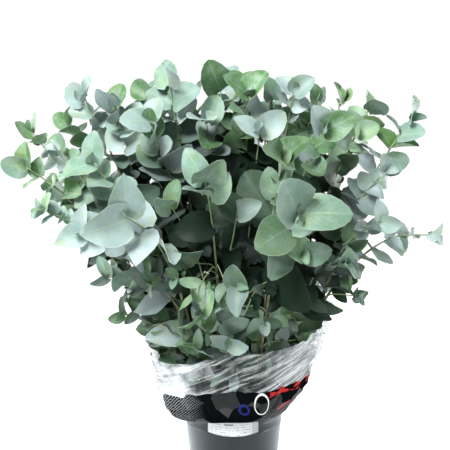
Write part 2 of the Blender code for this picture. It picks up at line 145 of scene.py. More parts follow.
def apply_modifiers(piece):
    """Turns a piece's modifiers into mesh."""
    deselect_all()
    piece.select_set(True)
    bpy.context.view_layer.objects.active = piece
    for modifier in list(piece.modifiers):
        bpy.ops.object.modifier_apply(modifier=modifier.name)


def finish_piece(piece, slot, *nodes):
    """Seats a piece on the one body of this part, and hides the nodes of the frame that it
    stands for.
    """
    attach(piece, "root")
    if nodes:
        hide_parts(*nodes)


def ringed_tube(name, sides, cuts, caps):
    """An upright tube of radius 1 and height 1 about the origin, cut into rings."""
    deselect_all()
    bpy.ops.mesh.primitive_cylinder_add(vertices=sides, radius=1, depth=1, end_fill_type=caps)
    piece = bpy.context.object
    piece.name = name
    edit(piece)
    bpy.ops.mesh.select_mode(type="EDGE")
    bpy.ops.object.mode_set(mode="OBJECT")
    for side_edge in piece.data.edges:
        ends = [piece.data.vertices[v].co.z for v in side_edge.vertices]
        side_edge.select = abs(ends[0] - ends[1]) > 0.5
    bpy.ops.object.mode_set(mode="EDIT")
    bpy.ops.mesh.subdivide(number_cuts=cuts)
    bpy.ops.mesh.select_mode(type="VERT")
    close_edit()
    return piece


def joined(name, pieces):
    """Joins several objects into one, named for what it is."""
    deselect_all()
    for piece in pieces:
        piece.select_set(True)
    bpy.context.view_layer.objects.active = pieces[0]
    bpy.ops.object.join()
    whole = bpy.context.object
    whole.name = name
    whole.data.name = name
    return whole


print("mesh helpers ready")

# %% [markdown]
# The photograph looks slightly down on the bunch from about two metres. A long lens keeps the
# crown's proportions, as it does in product photographs. The point in the middle of the
# picture lies on the bunch's upright axis, a little left of the bucket's middle.

# %% Camera
CAMERA_DISTANCE = 2.0
CAMERA_ELEVATION = math.radians(12)
LOOKS_AT = Vector((-0.016, 0.0, 0.586))
LENS_MM = 88.9
SENSOR_MM = 36.0

toward_camera = Vector((0, -math.cos(CAMERA_ELEVATION), math.sin(CAMERA_ELEVATION)))
bpy.ops.object.camera_add(location=LOOKS_AT + toward_camera * CAMERA_DISTANCE,
                          rotation=(math.pi / 2 - CAMERA_ELEVATION, 0, 0))
camera = bpy.context.object
camera.data.lens = LENS_MM
camera.data.sensor_width = SENSOR_MM
bpy.context.scene.camera = camera
print("camera at", tuple(round(c, 3) for c in camera.location))

# %% [markdown]
# Product photographs of flowers are lit by large soft lamps against white. The background is
# burnt out to pure white, but far less light than that comes back from it, or the inside of
# the bunch would not be dark. So the sky and the floor show white to the camera, and light the
# bunch only a little. A big lamp from the upper left models the leaves, a smaller one at the
# right lifts their shadows, and a low one lights the film. White sails stand beside the bunch
# and behind it: they are what the edges of the bucket and of the film reflect.

# %% Light and floor
# How strongly the sky and the floor shine on the bunch, and how bright the camera sees them.
SKY_STRENGTH = 0.17
SKY_SEEN = 1.1
FLOOR_GLOW = 0.10
FLOOR_SEEN = 1.0
FLOOR_SIZE = 60.0
# Each lamp's name, place, width, watts, and the point that it faces. The sails come in pairs.
LAMPS = [
    ("key lamp", (-1.1, -1.7, 3.0), 1.2, 212, LOOKS_AT),
    ("side lamp", (1.9, -1.6, 1.3), 0.6, 20, LOOKS_AT),
    ("low lamp", (-0.7, -1.8, 0.20), 0.45, 16, (0, 0, 0.24)),
]
for hand in (-1, 1):
    LAMPS.append(("side sail", (1.3 * hand, 0.0, 0.15), 0.9, 20, (0, 0, 0.15)))
    LAMPS.append(("back sail", (1.1 * hand, 1.3, 0.30), 1.3, 34, (0, 0, 0.25)))

sky = bpy.data.worlds.new("white studio")
sky.use_nodes = True
sky_nodes = sky.node_tree.nodes
sky_nodes["Background"].inputs["Color"].default_value = paint("#F6FAFF")
sky_rays = sky_nodes.new("ShaderNodeLightPath")
sky_level = sky_nodes.new("ShaderNodeMapRange")
sky_level.inputs["To Min"].default_value = SKY_STRENGTH
sky_level.inputs["To Max"].default_value = SKY_SEEN
sky.node_tree.links.new(sky_rays.outputs["Is Camera Ray"], sky_level.inputs["Value"])
sky.node_tree.links.new(sky_level.outputs["Result"],
                        sky_nodes["Background"].inputs["Strength"])
bpy.context.scene.world = sky
bpy.context.scene.view_settings.view_transform = "Standard"


def soft_lamp(name, place, size, watts, aim):
    """A square lamp that faces a point."""
    bpy.ops.object.light_add(type="AREA", location=place)
    lamp = bpy.context.object
    lamp.name = name
    lamp.data.shape = "SQUARE"
    lamp.data.size = size
    lamp.data.energy = watts
    lamp.rotation_euler = (Vector(aim) - Vector(place)).to_track_quat("-Z", "Y").to_euler()


for lamp in LAMPS:
    soft_lamp(*lamp)

floor_paper = new_finish("white background paper")
floor_rays = add_node(floor_paper, "LightPath")
floor_level = add_node(floor_paper, "MapRange", {
    "Value": floor_rays.outputs["Is Camera Ray"], "To Min": FLOOR_GLOW, "To Max": FLOOR_SEEN})
floor_surface = add_node(floor_paper, "BsdfPrincipled", {
    "Base Color": paint("#8A8A8A"), "Roughness": 0.9, "Specular IOR Level": 0.0,
    "Emission Color": paint("#FFFFFF"), "Emission Strength": floor_level.outputs["Result"]})
add_node(floor_paper, "OutputMaterial", {"Surface": floor_surface.outputs["BSDF"]})
deselect_all()
bpy.ops.mesh.primitive_plane_add(size=FLOOR_SIZE)
floor = bpy.context.object
floor.name = "floor"
floor.data.materials.append(floor_paper)
print("floor and", len(LAMPS), "lamps")

# %% [markdown]
# The bucket is injection moulded polypropylene: a tapered wall with a small rolled lip, a
# slightly raised foot ring and faint rings where the wall thickens. A turned shape is quickest
# to make as a potter would, by extruding one disc step by step up the outside and back down
# the inside. The cap of the extrusion becomes the bucket's inner floor, so the wall is closed.

# %% Bucket shape
BUCKET_HEIGHT = 0.262
BUCKET_BASE_RADIUS = 0.068
BUCKET_TOP_RADIUS = 0.093
BUCKET_WALL = 0.0022
BUCKET_FLOOR = 0.004
LIP_HEIGHT = 0.011
LIP_OUT = 0.0035
TURNED_SIDES = 96
# Smaller sizes: the foot's flat ends this far inside the wall, the radii of the roundings of
# the foot, the lip, its two thin edges and the inner floor, and how far the lip's root stands
# out. The inner wall ends at INSIDE_FROM, and the floor's corner takes its radius from the
# wall's at CORNER_AT.
FOOT_INSET = 0.004
FOOT_ROUND = 0.002
LIP_ROUND = 0.0016
THIN_ROUND = 0.001
FLOOR_ROUND = 0.005
LIP_ROOT = 0.0008
INSIDE_FROM = 0.012
CORNER_AT = 0.010
# Faint rings: where they start, how far they stand out, and the heights above their start at
# which they are full, begin to fade and end.
RINGS_AT = (0.012, 0.216, 0.232)
RING_OUT = 0.0004
RING_STEPS = (0.0008, 0.0024, 0.0032)


def wall_radius(height):
    """The bucket's outside radius at a height below the lip."""
    share = height / BUCKET_HEIGHT
    return BUCKET_BASE_RADIUS + (BUCKET_TOP_RADIUS - BUCKET_BASE_RADIUS) * share


def turned(name, profile):
    """A closed turned solid. The profile is a list of (radius, height), from the base up."""
    radius, height = profile[0]
    deselect_all()
    bpy.ops.mesh.primitive_circle_add(vertices=TURNED_SIDES, radius=radius, fill_type="NGON",
                                      location=(0, 0, height))
    piece = bpy.context.object
    piece.name = name
    apply_place(piece)
    edit(piece)
    bpy.ops.mesh.select_all(action="SELECT")
    # The first disc stays as the underside, and its copy is carried along the profile.
    for next_radius, next_height in profile[1:]:
        bpy.ops.mesh.extrude_region_move(
            TRANSFORM_OT_translate={"value": (0, 0, next_height - height)})
        grow = next_radius / radius
        bpy.ops.transform.resize(value=(grow, grow, 1), center_override=(0, 0, next_height))
        radius, height = next_radius, next_height
    bpy.ops.mesh.select_all(action="SELECT")
    bpy.ops.mesh.normals_make_consistent(inside=False)
    close_edit()
    return piece


def arc(centre, radius, first, last, steps):
    """Points of an arc in the (radius, height) plane, in degrees."""
    turns = [math.radians(first + (last - first) * i / steps) for i in range(steps + 1)]
    return [(centre[0] + radius * math.cos(t), centre[1] + radius * math.sin(t)) for t in turns]


lip_under = BUCKET_HEIGHT - LIP_HEIGHT
lip_radius = BUCKET_TOP_RADIUS + LIP_OUT
inner_lip = BUCKET_TOP_RADIUS - BUCKET_WALL + THIN_ROUND
corner_radius = wall_radius(CORNER_AT) - BUCKET_WALL - FLOOR_ROUND
profile = [(BUCKET_BASE_RADIUS - FOOT_INSET, 0.0)]
profile += arc((wall_radius(FOOT_ROUND) - FOOT_ROUND, FOOT_ROUND), FOOT_ROUND, -90, 0, 4)
for ring in RINGS_AT:
    full, fading, end = [ring + step for step in RING_STEPS]
    profile += [(wall_radius(ring), ring), (wall_radius(ring) + RING_OUT, full),
                (wall_radius(fading) + RING_OUT, fading), (wall_radius(end), end)]
profile += [(wall_radius(lip_under - THIN_ROUND), lip_under - THIN_ROUND)]
profile += [(wall_radius(lip_under) + LIP_ROOT, lip_under)]
profile += arc((lip_radius - THIN_ROUND, lip_under + THIN_ROUND), THIN_ROUND, -90, 0, 3)
profile += arc((lip_radius - LIP_ROUND, BUCKET_HEIGHT - LIP_ROUND), LIP_ROUND, 0, 90, 5)
profile += arc((inner_lip, BUCKET_HEIGHT - THIN_ROUND), THIN_ROUND, 90, 180, 3)
profile += [(wall_radius(INSIDE_FROM) - BUCKET_WALL, INSIDE_FROM)]
profile += arc((corner_radius, BUCKET_FLOOR + FLOOR_ROUND), FLOOR_ROUND, 0, -90, 4)
bucket = turned("bucket_shell", profile)
bpy.ops.object.shade_smooth_by_angle(angle=math.radians(28))
finish_piece(bucket, "bucket", "bucket")
print("bucket:", len(bucket.data.polygons), "faces")

# %% [markdown]
# Black polypropylene leaves the mould with a satin skin that is never quite even: it carries
# faint upright flow marks, fine scuffs from stacking, and a little dust. The gloss is what the
# eye reads, so the roughness varies more than the colour does. The pale grey toward the edges,
# where the wall turns away, is a painted reflection.

# %% Bucket finish
# Real sizes in metres: the width of a flow mark, and the grain of the mould's steel.
FLOW_MARK = 0.016
MOULD_GRAIN = 0.0012


def moulded_black():
    material = new_finish("moulded black polypropylene")
    place = add_node(material, "TexCoord")
    stretch = add_node(material, "Mapping", {
        "Vector": place.outputs["Object"], "Scale": (1.0, 1.0, 0.06)})
    flow = add_node(material, "TexNoise", {
        "Vector": stretch.outputs["Vector"], "Scale": 1 / FLOW_MARK, "Detail": 3.0})
    grain = add_node(material, "TexNoise", {
        "Vector": place.outputs["Object"], "Scale": 1 / MOULD_GRAIN, "Detail": 2.0})
    gloss = add_node(material, "MapRange", {
        "Value": flow.outputs["Fac"], "From Min": 0.3, "From Max": 0.7, "To Min": 0.27,
        "To Max": 0.40})
    # A Mix node of colours takes them in its sockets 6 and 7, and gives them at output 2.
    dust = add_node(material, "Mix", {
        0: flow.outputs["Fac"], 6: paint("#1E2427"), 7: paint("#2C3336")}, data_type="RGBA")
    # Where the wall turns away, its colour is lightened toward pale grey: a painted reflection.
    turning = add_node(material, "LayerWeight", {"Blend": 0.5})
    painted_edge_reflection = add_node(material, "Math", {
        0: turning.outputs["Facing"], 1: 3.2}, operation="POWER")
    skin = add_node(material, "Mix", {
        0: painted_edge_reflection.outputs["Value"], 6: dust.outputs[2], 7: paint("#C2CCD1")}, data_type="RGBA")
    bump = add_node(material, "Bump", {
        "Height": grain.outputs["Fac"], "Strength": 0.12, "Distance": 0.0003})
    surface = add_node(material, "BsdfPrincipled", {
        "Base Color": skin.outputs[2], "Roughness": gloss.outputs["Result"],
        "Normal": bump.outputs["Normal"], "IOR": 1.49})
    add_node(material, "OutputMaterial", {"Surface": surface.outputs["BSDF"]})
    return material


bucket.data.materials.append(moulded_black())
print("bucket finish made")

# %% [markdown]
# The label is a strip of white sticker paper, bent round the wall under the lip. It starts as
# a flat grid of the sticker's real size, gets its thickness, and each of its points is then
# wrapped round the cone of the wall. Paper keeps tiny lifts at its corners, which catch light.

# %% Label
LABEL_WIDTH = 0.094
LABEL_TALL = 0.0270
LABEL_PAPER = 0.0003
LABEL_TOP = lip_under - 0.002
LABEL_TURN = math.radians(-91)
LABEL_STAND_OFF = 0.0003
LABEL_BOW = 0.0045
# The corners lift past these shares of the width and of the height.
LIFT_PAST = (0.42, 0.30)
CORNER_LIFT = 0.06

deselect_all()
bpy.ops.mesh.primitive_grid_add(x_subdivisions=30, y_subdivisions=8, size=1)
label = bpy.context.object
label.name = "label_sticker"
label.scale = (LABEL_WIDTH, LABEL_TALL, 1)
apply_place(label)
edit(label)
# Slanted corners, as a worn sticker has.
pick(label, lambda p: abs(p.x) > 0.499 * LABEL_WIDTH and abs(p.y) > 0.49 * LABEL_TALL)
bpy.ops.transform.resize(value=(0.985, 0.95, 1))
close_edit()
thickness = label.modifiers.new("paper", "SOLIDIFY")
thickness.thickness = LABEL_PAPER
thickness.offset = 1.0
apply_modifiers(label)
for vertex in label.data.vertices:
    across, up, out = vertex.co
    height = LABEL_TOP - LABEL_TALL / 2 + up
    height -= LABEL_BOW * (1 - (2 * across / LABEL_WIDTH) ** 2) * (0.5 - up / LABEL_TALL)
    corner = (max(0.0, abs(across) / LABEL_WIDTH - LIFT_PAST[0])
              * max(0.0, abs(up) / LABEL_TALL - LIFT_PAST[1]))
    radius = wall_radius(height) + LABEL_STAND_OFF + out + corner * CORNER_LIFT
    turn = LABEL_TURN + across / wall_radius(height)
    vertex.co = (radius * math.cos(turn), radius * math.sin(turn), height)
edit(label)
bpy.ops.mesh.select_all(action="SELECT")
bpy.ops.mesh.normals_make_consistent(inside=False)
close_edit()
finish_piece(label, "paper", "label")
print("label:", len(label.data.polygons), "faces")

# %% [markdown]
# Sticker paper is coated and matt. What is printed on it here is only generic: grey rules that
# break into short strokes, one dark bar, and a block of fine upright lines. They are drawn on
# the sticker's own UV map, which runs from 0 to 1 across it and up it.

# %% Label finish
# In shares of the sticker: how many rules, the bar's middle and its half width and height, and
# where the block of lines starts. LINES is how fast the lines follow each other.
RULES = 6
BAR_MIDDLE = (0.42, 0.72, 0.0)
BAR_HALF = (0.085, 0.05)
BLOCK_FROM = 0.88
LINES = 300.0


def sticker_paper():
    """Matt coated paper with a few plain grey rules, and no lettering."""
    material = new_finish("matt coated sticker paper")
    flat = add_node(material, "UVMap")
    axes = add_node(material, "SeparateXYZ", {"Vector": flat.outputs["UV"]})
    # The rules are a wave that is cut to thin lines.
    rows = add_node(material, "Math", {
        0: axes.outputs["Y"], 1: RULES * 2 * math.pi}, operation="MULTIPLY")
    wave = add_node(material, "Math", {0: rows.outputs["Value"]}, operation="SINE")
    rule = add_node(material, "MapRange", {
        "Value": wave.outputs["Value"], "From Min": 0.55, "From Max": 0.85})
    # Blocks of noise stretched along the rules break them into short grey strokes.
    stretch = add_node(material, "Mapping", {
        "Vector": flat.outputs["UV"], "Scale": (9.0, 5.0, 1.0)})
    breaks = add_node(material, "TexNoise", {
        "Vector": stretch.outputs["Vector"], "Scale": 2.2, "Detail": 1.0})
    shown = add_node(material, "MapRange", {
        "Value": breaks.outputs["Fac"], "From Min": 0.47, "From Max": 0.55})
    ink = add_node(material, "Math", {
        0: rule.outputs["Result"], 1: shown.outputs["Result"]}, operation="MULTIPLY")
    inside = add_node(material, "MapRange", {
        "Value": axes.outputs["X"], "From Min": 0.05, "From Max": 0.07})
    inked = add_node(material, "Math", {
        0: ink.outputs["Value"], 1: inside.outputs["Result"]}, operation="MULTIPLY")
    # A dark bar near the top, and a block of fine upright lines at the right end.
    from_bar = add_node(material, "VectorMath", {
        0: flat.outputs["UV"], 1: BAR_MIDDLE}, operation="SUBTRACT")
    bar_size = add_node(material, "VectorMath", {
        0: from_bar.outputs["Vector"]}, operation="ABSOLUTE")
    bar_axes = add_node(material, "SeparateXYZ", {"Vector": bar_size.outputs["Vector"]})
    bar_wide = add_node(material, "Math", {
        0: bar_axes.outputs["X"], 1: BAR_HALF[0]}, operation="LESS_THAN")
    bar_tall = add_node(material, "Math", {
        0: bar_axes.outputs["Y"], 1: BAR_HALF[1]}, operation="LESS_THAN")
    bar = add_node(material, "Math", {
        0: bar_wide.outputs["Value"], 1: bar_tall.outputs["Value"]}, operation="MULTIPLY")
    lines = add_node(material, "Math", {0: axes.outputs["X"], 1: LINES}, operation="MULTIPLY")
    stripe = add_node(material, "Math", {0: lines.outputs["Value"]}, operation="SINE")
    dark_line = add_node(material, "Math", {
        0: stripe.outputs["Value"], 1: 0.0}, operation="GREATER_THAN")
    block = add_node(material, "Math", {
        0: axes.outputs["X"], 1: BLOCK_FROM}, operation="GREATER_THAN")
    code = add_node(material, "Math", {
        0: dark_line.outputs["Value"], 1: block.outputs["Value"]}, operation="MULTIPLY")
    most = add_node(material, "Math", {
        0: inked.outputs["Value"], 1: code.outputs["Value"]}, operation="MAXIMUM")
    all_ink = add_node(material, "Math", {
        0: most.outputs["Value"], 1: bar.outputs["Value"]}, operation="MAXIMUM")
    share = add_node(material, "Math", {
        0: all_ink.outputs["Value"], 1: 0.85}, operation="MULTIPLY")
    colour = add_node(material, "Mix", {
        0: share.outputs["Value"], 6: paint("#D3D8DA"), 7: paint("#5A6268")}, data_type="RGBA")
    surface = add_node(material, "BsdfPrincipled", {
        "Base Color": colour.outputs[2], "Roughness": 0.55, "IOR": 1.5})
    add_node(material, "OutputMaterial", {"Surface": surface.outputs["BSDF"]})
    return material


label.data.materials.clear()
label.data.materials.append(sticker_paper())
print("label finish made")

# %% [markdown]
# The water's solid already has the right level and a hole for each stem, so the CAD node
# stays and only gets a finish. Still water is a smooth, slightly green sheet from above.

# %% Water finish
# The width of one slow ripple, in metres.
RIPPLE_WIDTH = 0.03


def still_water():
    material = new_finish("still bucket water")
    place = add_node(material, "TexCoord")
    ripple = add_node(material, "TexNoise", {
        "Vector": place.outputs["Object"], "Scale": 1 / RIPPLE_WIDTH, "Detail": 1.0})
    bump = add_node(material, "Bump", {
        "Height": ripple.outputs["Fac"], "Strength": 0.15, "Distance": 0.001})
    surface = add_node(material, "BsdfPrincipled", {
        "Base Color": paint("#8FA79B"), "Roughness": 0.03, "IOR": 1.333, "Alpha": 0.45,
        "Normal": bump.outputs["Normal"]})
    add_node(material, "OutputMaterial", {"Surface": surface.outputs["BSDF"]})
    return material


water = frame["nodes"]["water"]
water.data.materials.clear()
water.data.materials.append(still_water())
print("water finish made")

# %% [markdown]
# The sleeve is a tube of thin clear polypropylene film. Its hem grips the lip, it sags over
# the edge of the bucket, and above that it stands up, crumpled, round the stems. It is a
# sheet, so it is built as one fine tube whose points follow the draped form of the frame, and
# the crumples are ridges of cell noise: film folds along straight creases and stays flat
# between them, so smooth noise alone would look like cloth.

# %% Sleeve shape
# The film here is thinner than the frame's, and its hem starts where the frame's outside is.
SLEEVE_THICK = 0.0003
FRAME_FILM = 0.0008
FRAME_GAP = 0.0003
HEM = BUCKET_TOP_RADIUS + LIP_OUT + FRAME_FILM + FRAME_GAP
# The film's inside from the hem up, as (radius, height) at the right, back, left and front.
SLEEVE_LEVELS = [
    [(HEM, 0.2590)] * 4,
    [(HEM, 0.2520)] * 4,
    [(0.106, 0.2500), (0.109, 0.2480), (0.123, 0.2380), (0.106, 0.2500)],
    [(0.127, 0.2820), (0.124, 0.2750), (0.140, 0.2620), (0.122, 0.2720)],
    [(0.150, 0.3300), (0.146, 0.3220), (0.151, 0.3080), (0.140, 0.3180)],
    [(0.180, 0.4330), (0.168, 0.4000), (0.167, 0.3560), (0.152, 0.3850)],
]
SLEEVE_ROUND = 240
SLEEVE_ROWS = 44
LARGE_CREASE = 0.055
SMALL_CREASE = 0.017
CREASE_DEPTH = 0.0165
EDGE_TEAR = 0.006
TEAR_WIDTH = 0.018


def sleeve_level(turn, level):
    """The radius and height of the film at a level of the table."""
    angle = 2 * math.pi * turn
    east, north = math.cos(angle), math.sin(angle)
    shares = (max(0, east) ** 2, max(0, north) ** 2, max(0, -east) ** 2, max(0, -north) ** 2)
    spots = SLEEVE_LEVELS[level]
    radius = sum(share * spot[0] for share, spot in zip(shares, spots))
    height = sum(share * spot[1] for share, spot in zip(shares, spots))
    free = max(0, level - 1) / (len(SLEEVE_LEVELS) - 2)
    radius += free * (0.005 * math.sin(5 * angle + 0.8) + 0.003 * math.sin(9 * angle))
    height += free ** 2 * 0.007 * math.sin(4 * angle + 1.0)
    return radius, height


def eased(a, b, c, d, t):
    """A Catmull-Rom curve from b to c."""
    return 0.5 * (2 * b + (c - a) * t + (2 * a - 5 * b + 4 * c - d) * t * t
                  + (3 * b - a - 3 * c + d) * t ** 3)


def sleeve_point(turn, up):
    """A point of the crumpled film: up runs from 0 at the hem to 1 at the open edge."""
    last = len(SLEEVE_LEVELS) - 1
    level = min(last - 1, int(up * last))
    part = up * last - level
    near = [sleeve_level(turn, min(last, max(0, level + k))) for k in (-1, 0, 1, 2)]
    radius = eased(*[spot[0] for spot in near], part)
    height = eased(*[spot[1] for spot in near], part)
    angle = 2 * math.pi * turn
    spot = Vector((radius * math.cos(angle), radius * math.sin(angle), height))
    free = min(1.0, max(0.0, up * last - 1.3) / 1.2)
    # The creases of a gathered sleeve run more up than round.
    upright = Vector((spot.x, spot.y, spot.z * 0.55))
    large = noise.voronoi(upright / LARGE_CREASE)[0]
    small = noise.voronoi(spot / SMALL_CREASE + Vector((7, 3, 1)))[0]
    crease = 0.62 * (large[1] - large[0]) + 0.24 * (small[1] - small[0]) - 0.30
    # The open edge is nipped and torn a little unevenly.
    edge = max(0.0, up - 0.8) / 0.2
    lift = edge * EDGE_TEAR * noise.noise(spot / TEAR_WIDTH)
    out = Vector((math.cos(angle), math.sin(angle), 0.25)).normalized()
    return spot + out * crease * CREASE_DEPTH * free + Vector((0, 0, lift))


sleeve = ringed_tube("sleeve_film", SLEEVE_ROUND, SLEEVE_ROWS - 1, "NOTHING")
sleeve_uv = sleeve.data.uv_layers.active.data
spots = [((math.atan2(v.co.y, v.co.x) / (2 * math.pi)) % 1.0, v.co.z + 0.5)
         for v in sleeve.data.vertices]
for polygon in sleeve.data.polygons:
    turns = [spots[v][0] for v in polygon.vertices]
    for loop, v in zip(polygon.loop_indices, polygon.vertices):
        turn = spots[v][0] + (1.0 if max(turns) - spots[v][0] > 0.5 else 0.0)
        sleeve_uv[loop].uv = (turn, spots[v][1])
for vertex, (turn, up) in zip(sleeve.data.vertices, spots):
    vertex.co = sleeve_point(turn, up)
made_area = sum(polygon.area for polygon in sleeve.data.polygons)
film_wall = sleeve.modifiers.new("film", "SOLIDIFY")
film_wall.thickness = SLEEVE_THICK
film_wall.offset = 1.0
apply_modifiers(sleeve)
bpy.ops.object.shade_smooth_by_angle(angle=math.radians(40))
finish_piece(sleeve, "film", "sleeve")
# Flat, the sleeve is a tapered tube: its open edge is 1.07 m round, its hem 0.62 m, and it is
# 0.195 m from one to the other.
print("sleeve:", len(sleeve.data.polygons), "faces,", round(made_area, 4), "square metres")

# %% [markdown]
# The band at the foot of the sleeve is printed with black ink. Print follows the film, so it
# is drawn on the UV map, stretched to the metres of the real sheet. Only the ink's upper edge
# follows a level line in space, because that is how the photograph shows it.

# %% Printed band
# In metres: the printed sleeve round and up, the ink's upper edge, its wander and the width
# of that wander's patches, and the middle and half width of the part without ink, whose edges
# wander CLEAR_WANDER times as far. The upper edge rises by BAND_LEAN for each metre to the
# front or back, and by BAND_ACROSS to the right. The lower edge is a share of the way up.
PRINT_SIZE = (0.80, 0.247, 0.0)
BAND_TOP = 0.290
BAND_LEAN = 0.20
BAND_ACROSS = 0.12
WANDER = 0.007
WANDER_PATCH = 0.05
BAND_LOW = 0.36
CLEAR_MIDDLE = 0.403
CLEAR_REACH = 0.051
CLEAR_WANDER = 1.8


def band_height(material, place):
    """A height that is the same all along the ink's slanting upper edge, and its wander."""
    unsigned = add_node(material, "VectorMath", {
        0: place.outputs["Object"]}, operation="ABSOLUTE")
    lean = add_node(material, "VectorMath", {
        0: unsigned.outputs["Vector"], 1: (0.0, -BAND_LEAN, 1.0)}, operation="DOT_PRODUCT")
    across = add_node(material, "VectorMath", {
        0: place.outputs["Object"], 1: (-BAND_ACROSS, 0.0, 0.0)}, operation="DOT_PRODUCT")
    slant = add_node(material, "Math", {
        0: lean.outputs["Value"], 1: across.outputs["Value"]}, operation="ADD")
    wander = add_node(material, "TexNoise", {
        "Vector": place.outputs["Object"], "Scale": 1 / WANDER_PATCH, "Detail": 2.0})
    shift = add_node(material, "MapRange", {
        "Value": wander.outputs["Fac"], "From Min": 0.3, "From Max": 0.7, "To Min": -WANDER,
        "To Max": WANDER})
    height = add_node(material, "Math", {
        0: slant.outputs["Value"], 1: shift.outputs["Result"]}, operation="ADD")
    return height, shift


def ink_band(material, flat, print_axes, height, shift):
    """1 where the film carries black ink, and 0 elsewhere."""
    axes = add_node(material, "SeparateXYZ", {"Vector": flat.outputs["UV"]})
    under = add_node(material, "Math", {
        0: height.outputs["Value"], 1: BAND_TOP}, operation="LESS_THAN")
    over = add_node(material, "Math", {
        0: axes.outputs["Y"], 1: BAND_LOW}, operation="GREATER_THAN")
    from_clear = add_node(material, "Math", {
        0: print_axes.outputs["X"], 1: CLEAR_MIDDLE}, operation="SUBTRACT")
    off_clear = add_node(material, "Math", {
        0: from_clear.outputs["Value"]}, operation="ABSOLUTE")
    torn = add_node(material, "Math", {
        0: shift.outputs["Result"], 1: CLEAR_WANDER, 2: off_clear.outputs["Value"]},
        operation="MULTIPLY_ADD")
    round_band = add_node(material, "Math", {
        0: torn.outputs["Value"], 1: CLEAR_REACH}, operation="GREATER_THAN")
    tall_band = add_node(material, "Math", {
        0: over.outputs["Value"], 1: under.outputs["Value"]}, operation="MULTIPLY")
    return add_node(material, "Math", {
        0: tall_band.outputs["Value"], 1: round_band.outputs["Value"]}, operation="MULTIPLY")


print("ink up to", BAND_TOP, "metres")

# %% [markdown]
# On the black lies a plain generic pattern: a loose white net of dots at the left, which fades
# out towards the middle, a red brush stroke along the upper edge at the right, and a short red
# stroke below it. Cell noise that is hardly random gives a lattice of dots, and noise that is
# stretched flat gives the bristles of a brush.

# %% Net and red strokes
# In metres: a cell of the net, where the net's middle is round the sleeve, how far it is full
# and where it ends, and the same for the red stroke, with its height. NET_DOT is a dot's share
# of its cell, and BRISTLES how many bristles a metre holds across and up.
NET_CELL = 0.0040
NET_DOT = 0.22
NET_MIDDLE = 0.485
NET_FADE = (0.022, 0.060)
RED_MIDDLE = 0.714
RED_REACH = 0.058
RED_TALL = 0.014
BRISTLES = (45.0, 45.0, 170.0)


def net_of_dots(material, printed, print_axes):
    """How much white there is from the net."""
    lattice = add_node(material, "Mapping", {
        "Vector": printed.outputs["Vector"], "Rotation": (0.0, 0.0, math.radians(45))})
    dots = add_node(material, "TexVoronoi", {
        "Vector": lattice.outputs["Vector"], "Scale": 1 / NET_CELL, "Randomness": 0.15},
        voronoi_dimensions="2D")
    dot = add_node(material, "Math", {
        0: dots.outputs["Distance"], 1: NET_DOT}, operation="LESS_THAN")
    from_net = add_node(material, "Math", {
        0: print_axes.outputs["X"], 1: NET_MIDDLE}, operation="SUBTRACT")
    off_net = add_node(material, "Math", {0: from_net.outputs["Value"]}, operation="ABSOLUTE")
    fade = add_node(material, "MapRange", {
        "Value": off_net.outputs["Value"], "From Min": NET_FADE[0], "From Max": NET_FADE[1],
        "To Min": 0.70, "To Max": 0.0})
    return add_node(material, "Math", {
        0: dot.outputs["Value"], 1: fade.outputs["Result"]}, operation="MULTIPLY")


def red_stroke(material, place, print_axes, height):
    """1 on the ragged stroke just under the ink's upper edge."""
    brush = add_node(material, "Mapping", {
        "Vector": place.outputs["Object"], "Scale": BRISTLES})
    bristles = add_node(material, "TexNoise", {
        "Vector": brush.outputs["Vector"], "Scale": 1.0, "Detail": 2.0})
    ragged = add_node(material, "Math", {
        0: bristles.outputs["Fac"], 1: 0.53}, operation="GREATER_THAN")
    near_edge = add_node(material, "Math", {
        0: height.outputs["Value"], 1: BAND_TOP - RED_TALL}, operation="GREATER_THAN")
    from_red = add_node(material, "Math", {
        0: print_axes.outputs["X"], 1: RED_MIDDLE}, operation="SUBTRACT")
    off_red = add_node(material, "Math", {0: from_red.outputs["Value"]}, operation="ABSOLUTE")
    right = add_node(material, "Math", {
        0: off_red.outputs["Value"], 1: RED_REACH}, operation="LESS_THAN")
    edge_right = add_node(material, "Math", {
        0: near_edge.outputs["Value"], 1: right.outputs["Value"]}, operation="MULTIPLY")
    return add_node(material, "Math", {
        0: edge_right.outputs["Value"], 1: ragged.outputs["Value"]}, operation="MULTIPLY")


print("net cells of", NET_CELL * 1000, "mm")

# %% [markdown]
# Ovals are drawn by distance. A Mapping node of the kind TEXTURE moves, turns and stretches an
# oval onto a circle of radius 1, so the length of the moved place is 1 on the oval's line. A
# thin band of that length is a plain line, and a soft wide one looks painted.

# %% Ovals and inks
# Each oval: its middle, its half width and height in metres of the print, and its lean in
# degrees. Then the half width of the plain line, and where the soft line begins and ends.
BLUE_OVAL = ((0.618, 0.157), (0.0080, 0.0120), 15)
WHITE_OVAL = ((0.648, 0.166), (0.0115, 0.0265), 15)
RED_DASH = ((0.703, 0.150), (0.0170, 0.0042), 30)
PLAIN_LINE = 0.085
SOFT_LINE = (0.05, 0.42)


def oval(material, printed, middle, halves, lean):
    """How far each point is from the oval's middle: 1 on the oval's line."""
    spread = add_node(material, "Mapping", {
        "Vector": printed.outputs["Vector"], "Location": (*middle, 0.0),
        "Scale": (*halves, 1.0), "Rotation": (0.0, 0.0, math.radians(lean))},
        vector_type="TEXTURE")
    return add_node(material, "VectorMath", {0: spread.outputs["Vector"]}, operation="LENGTH")


def off_line(material, reach):
    """How far each point is from the oval's line, in shares of its radius."""
    beyond = add_node(material, "Math", {
        0: reach.outputs["Value"], 1: 1.0}, operation="SUBTRACT")
    return add_node(material, "Math", {0: beyond.outputs["Value"]}, operation="ABSOLUTE")


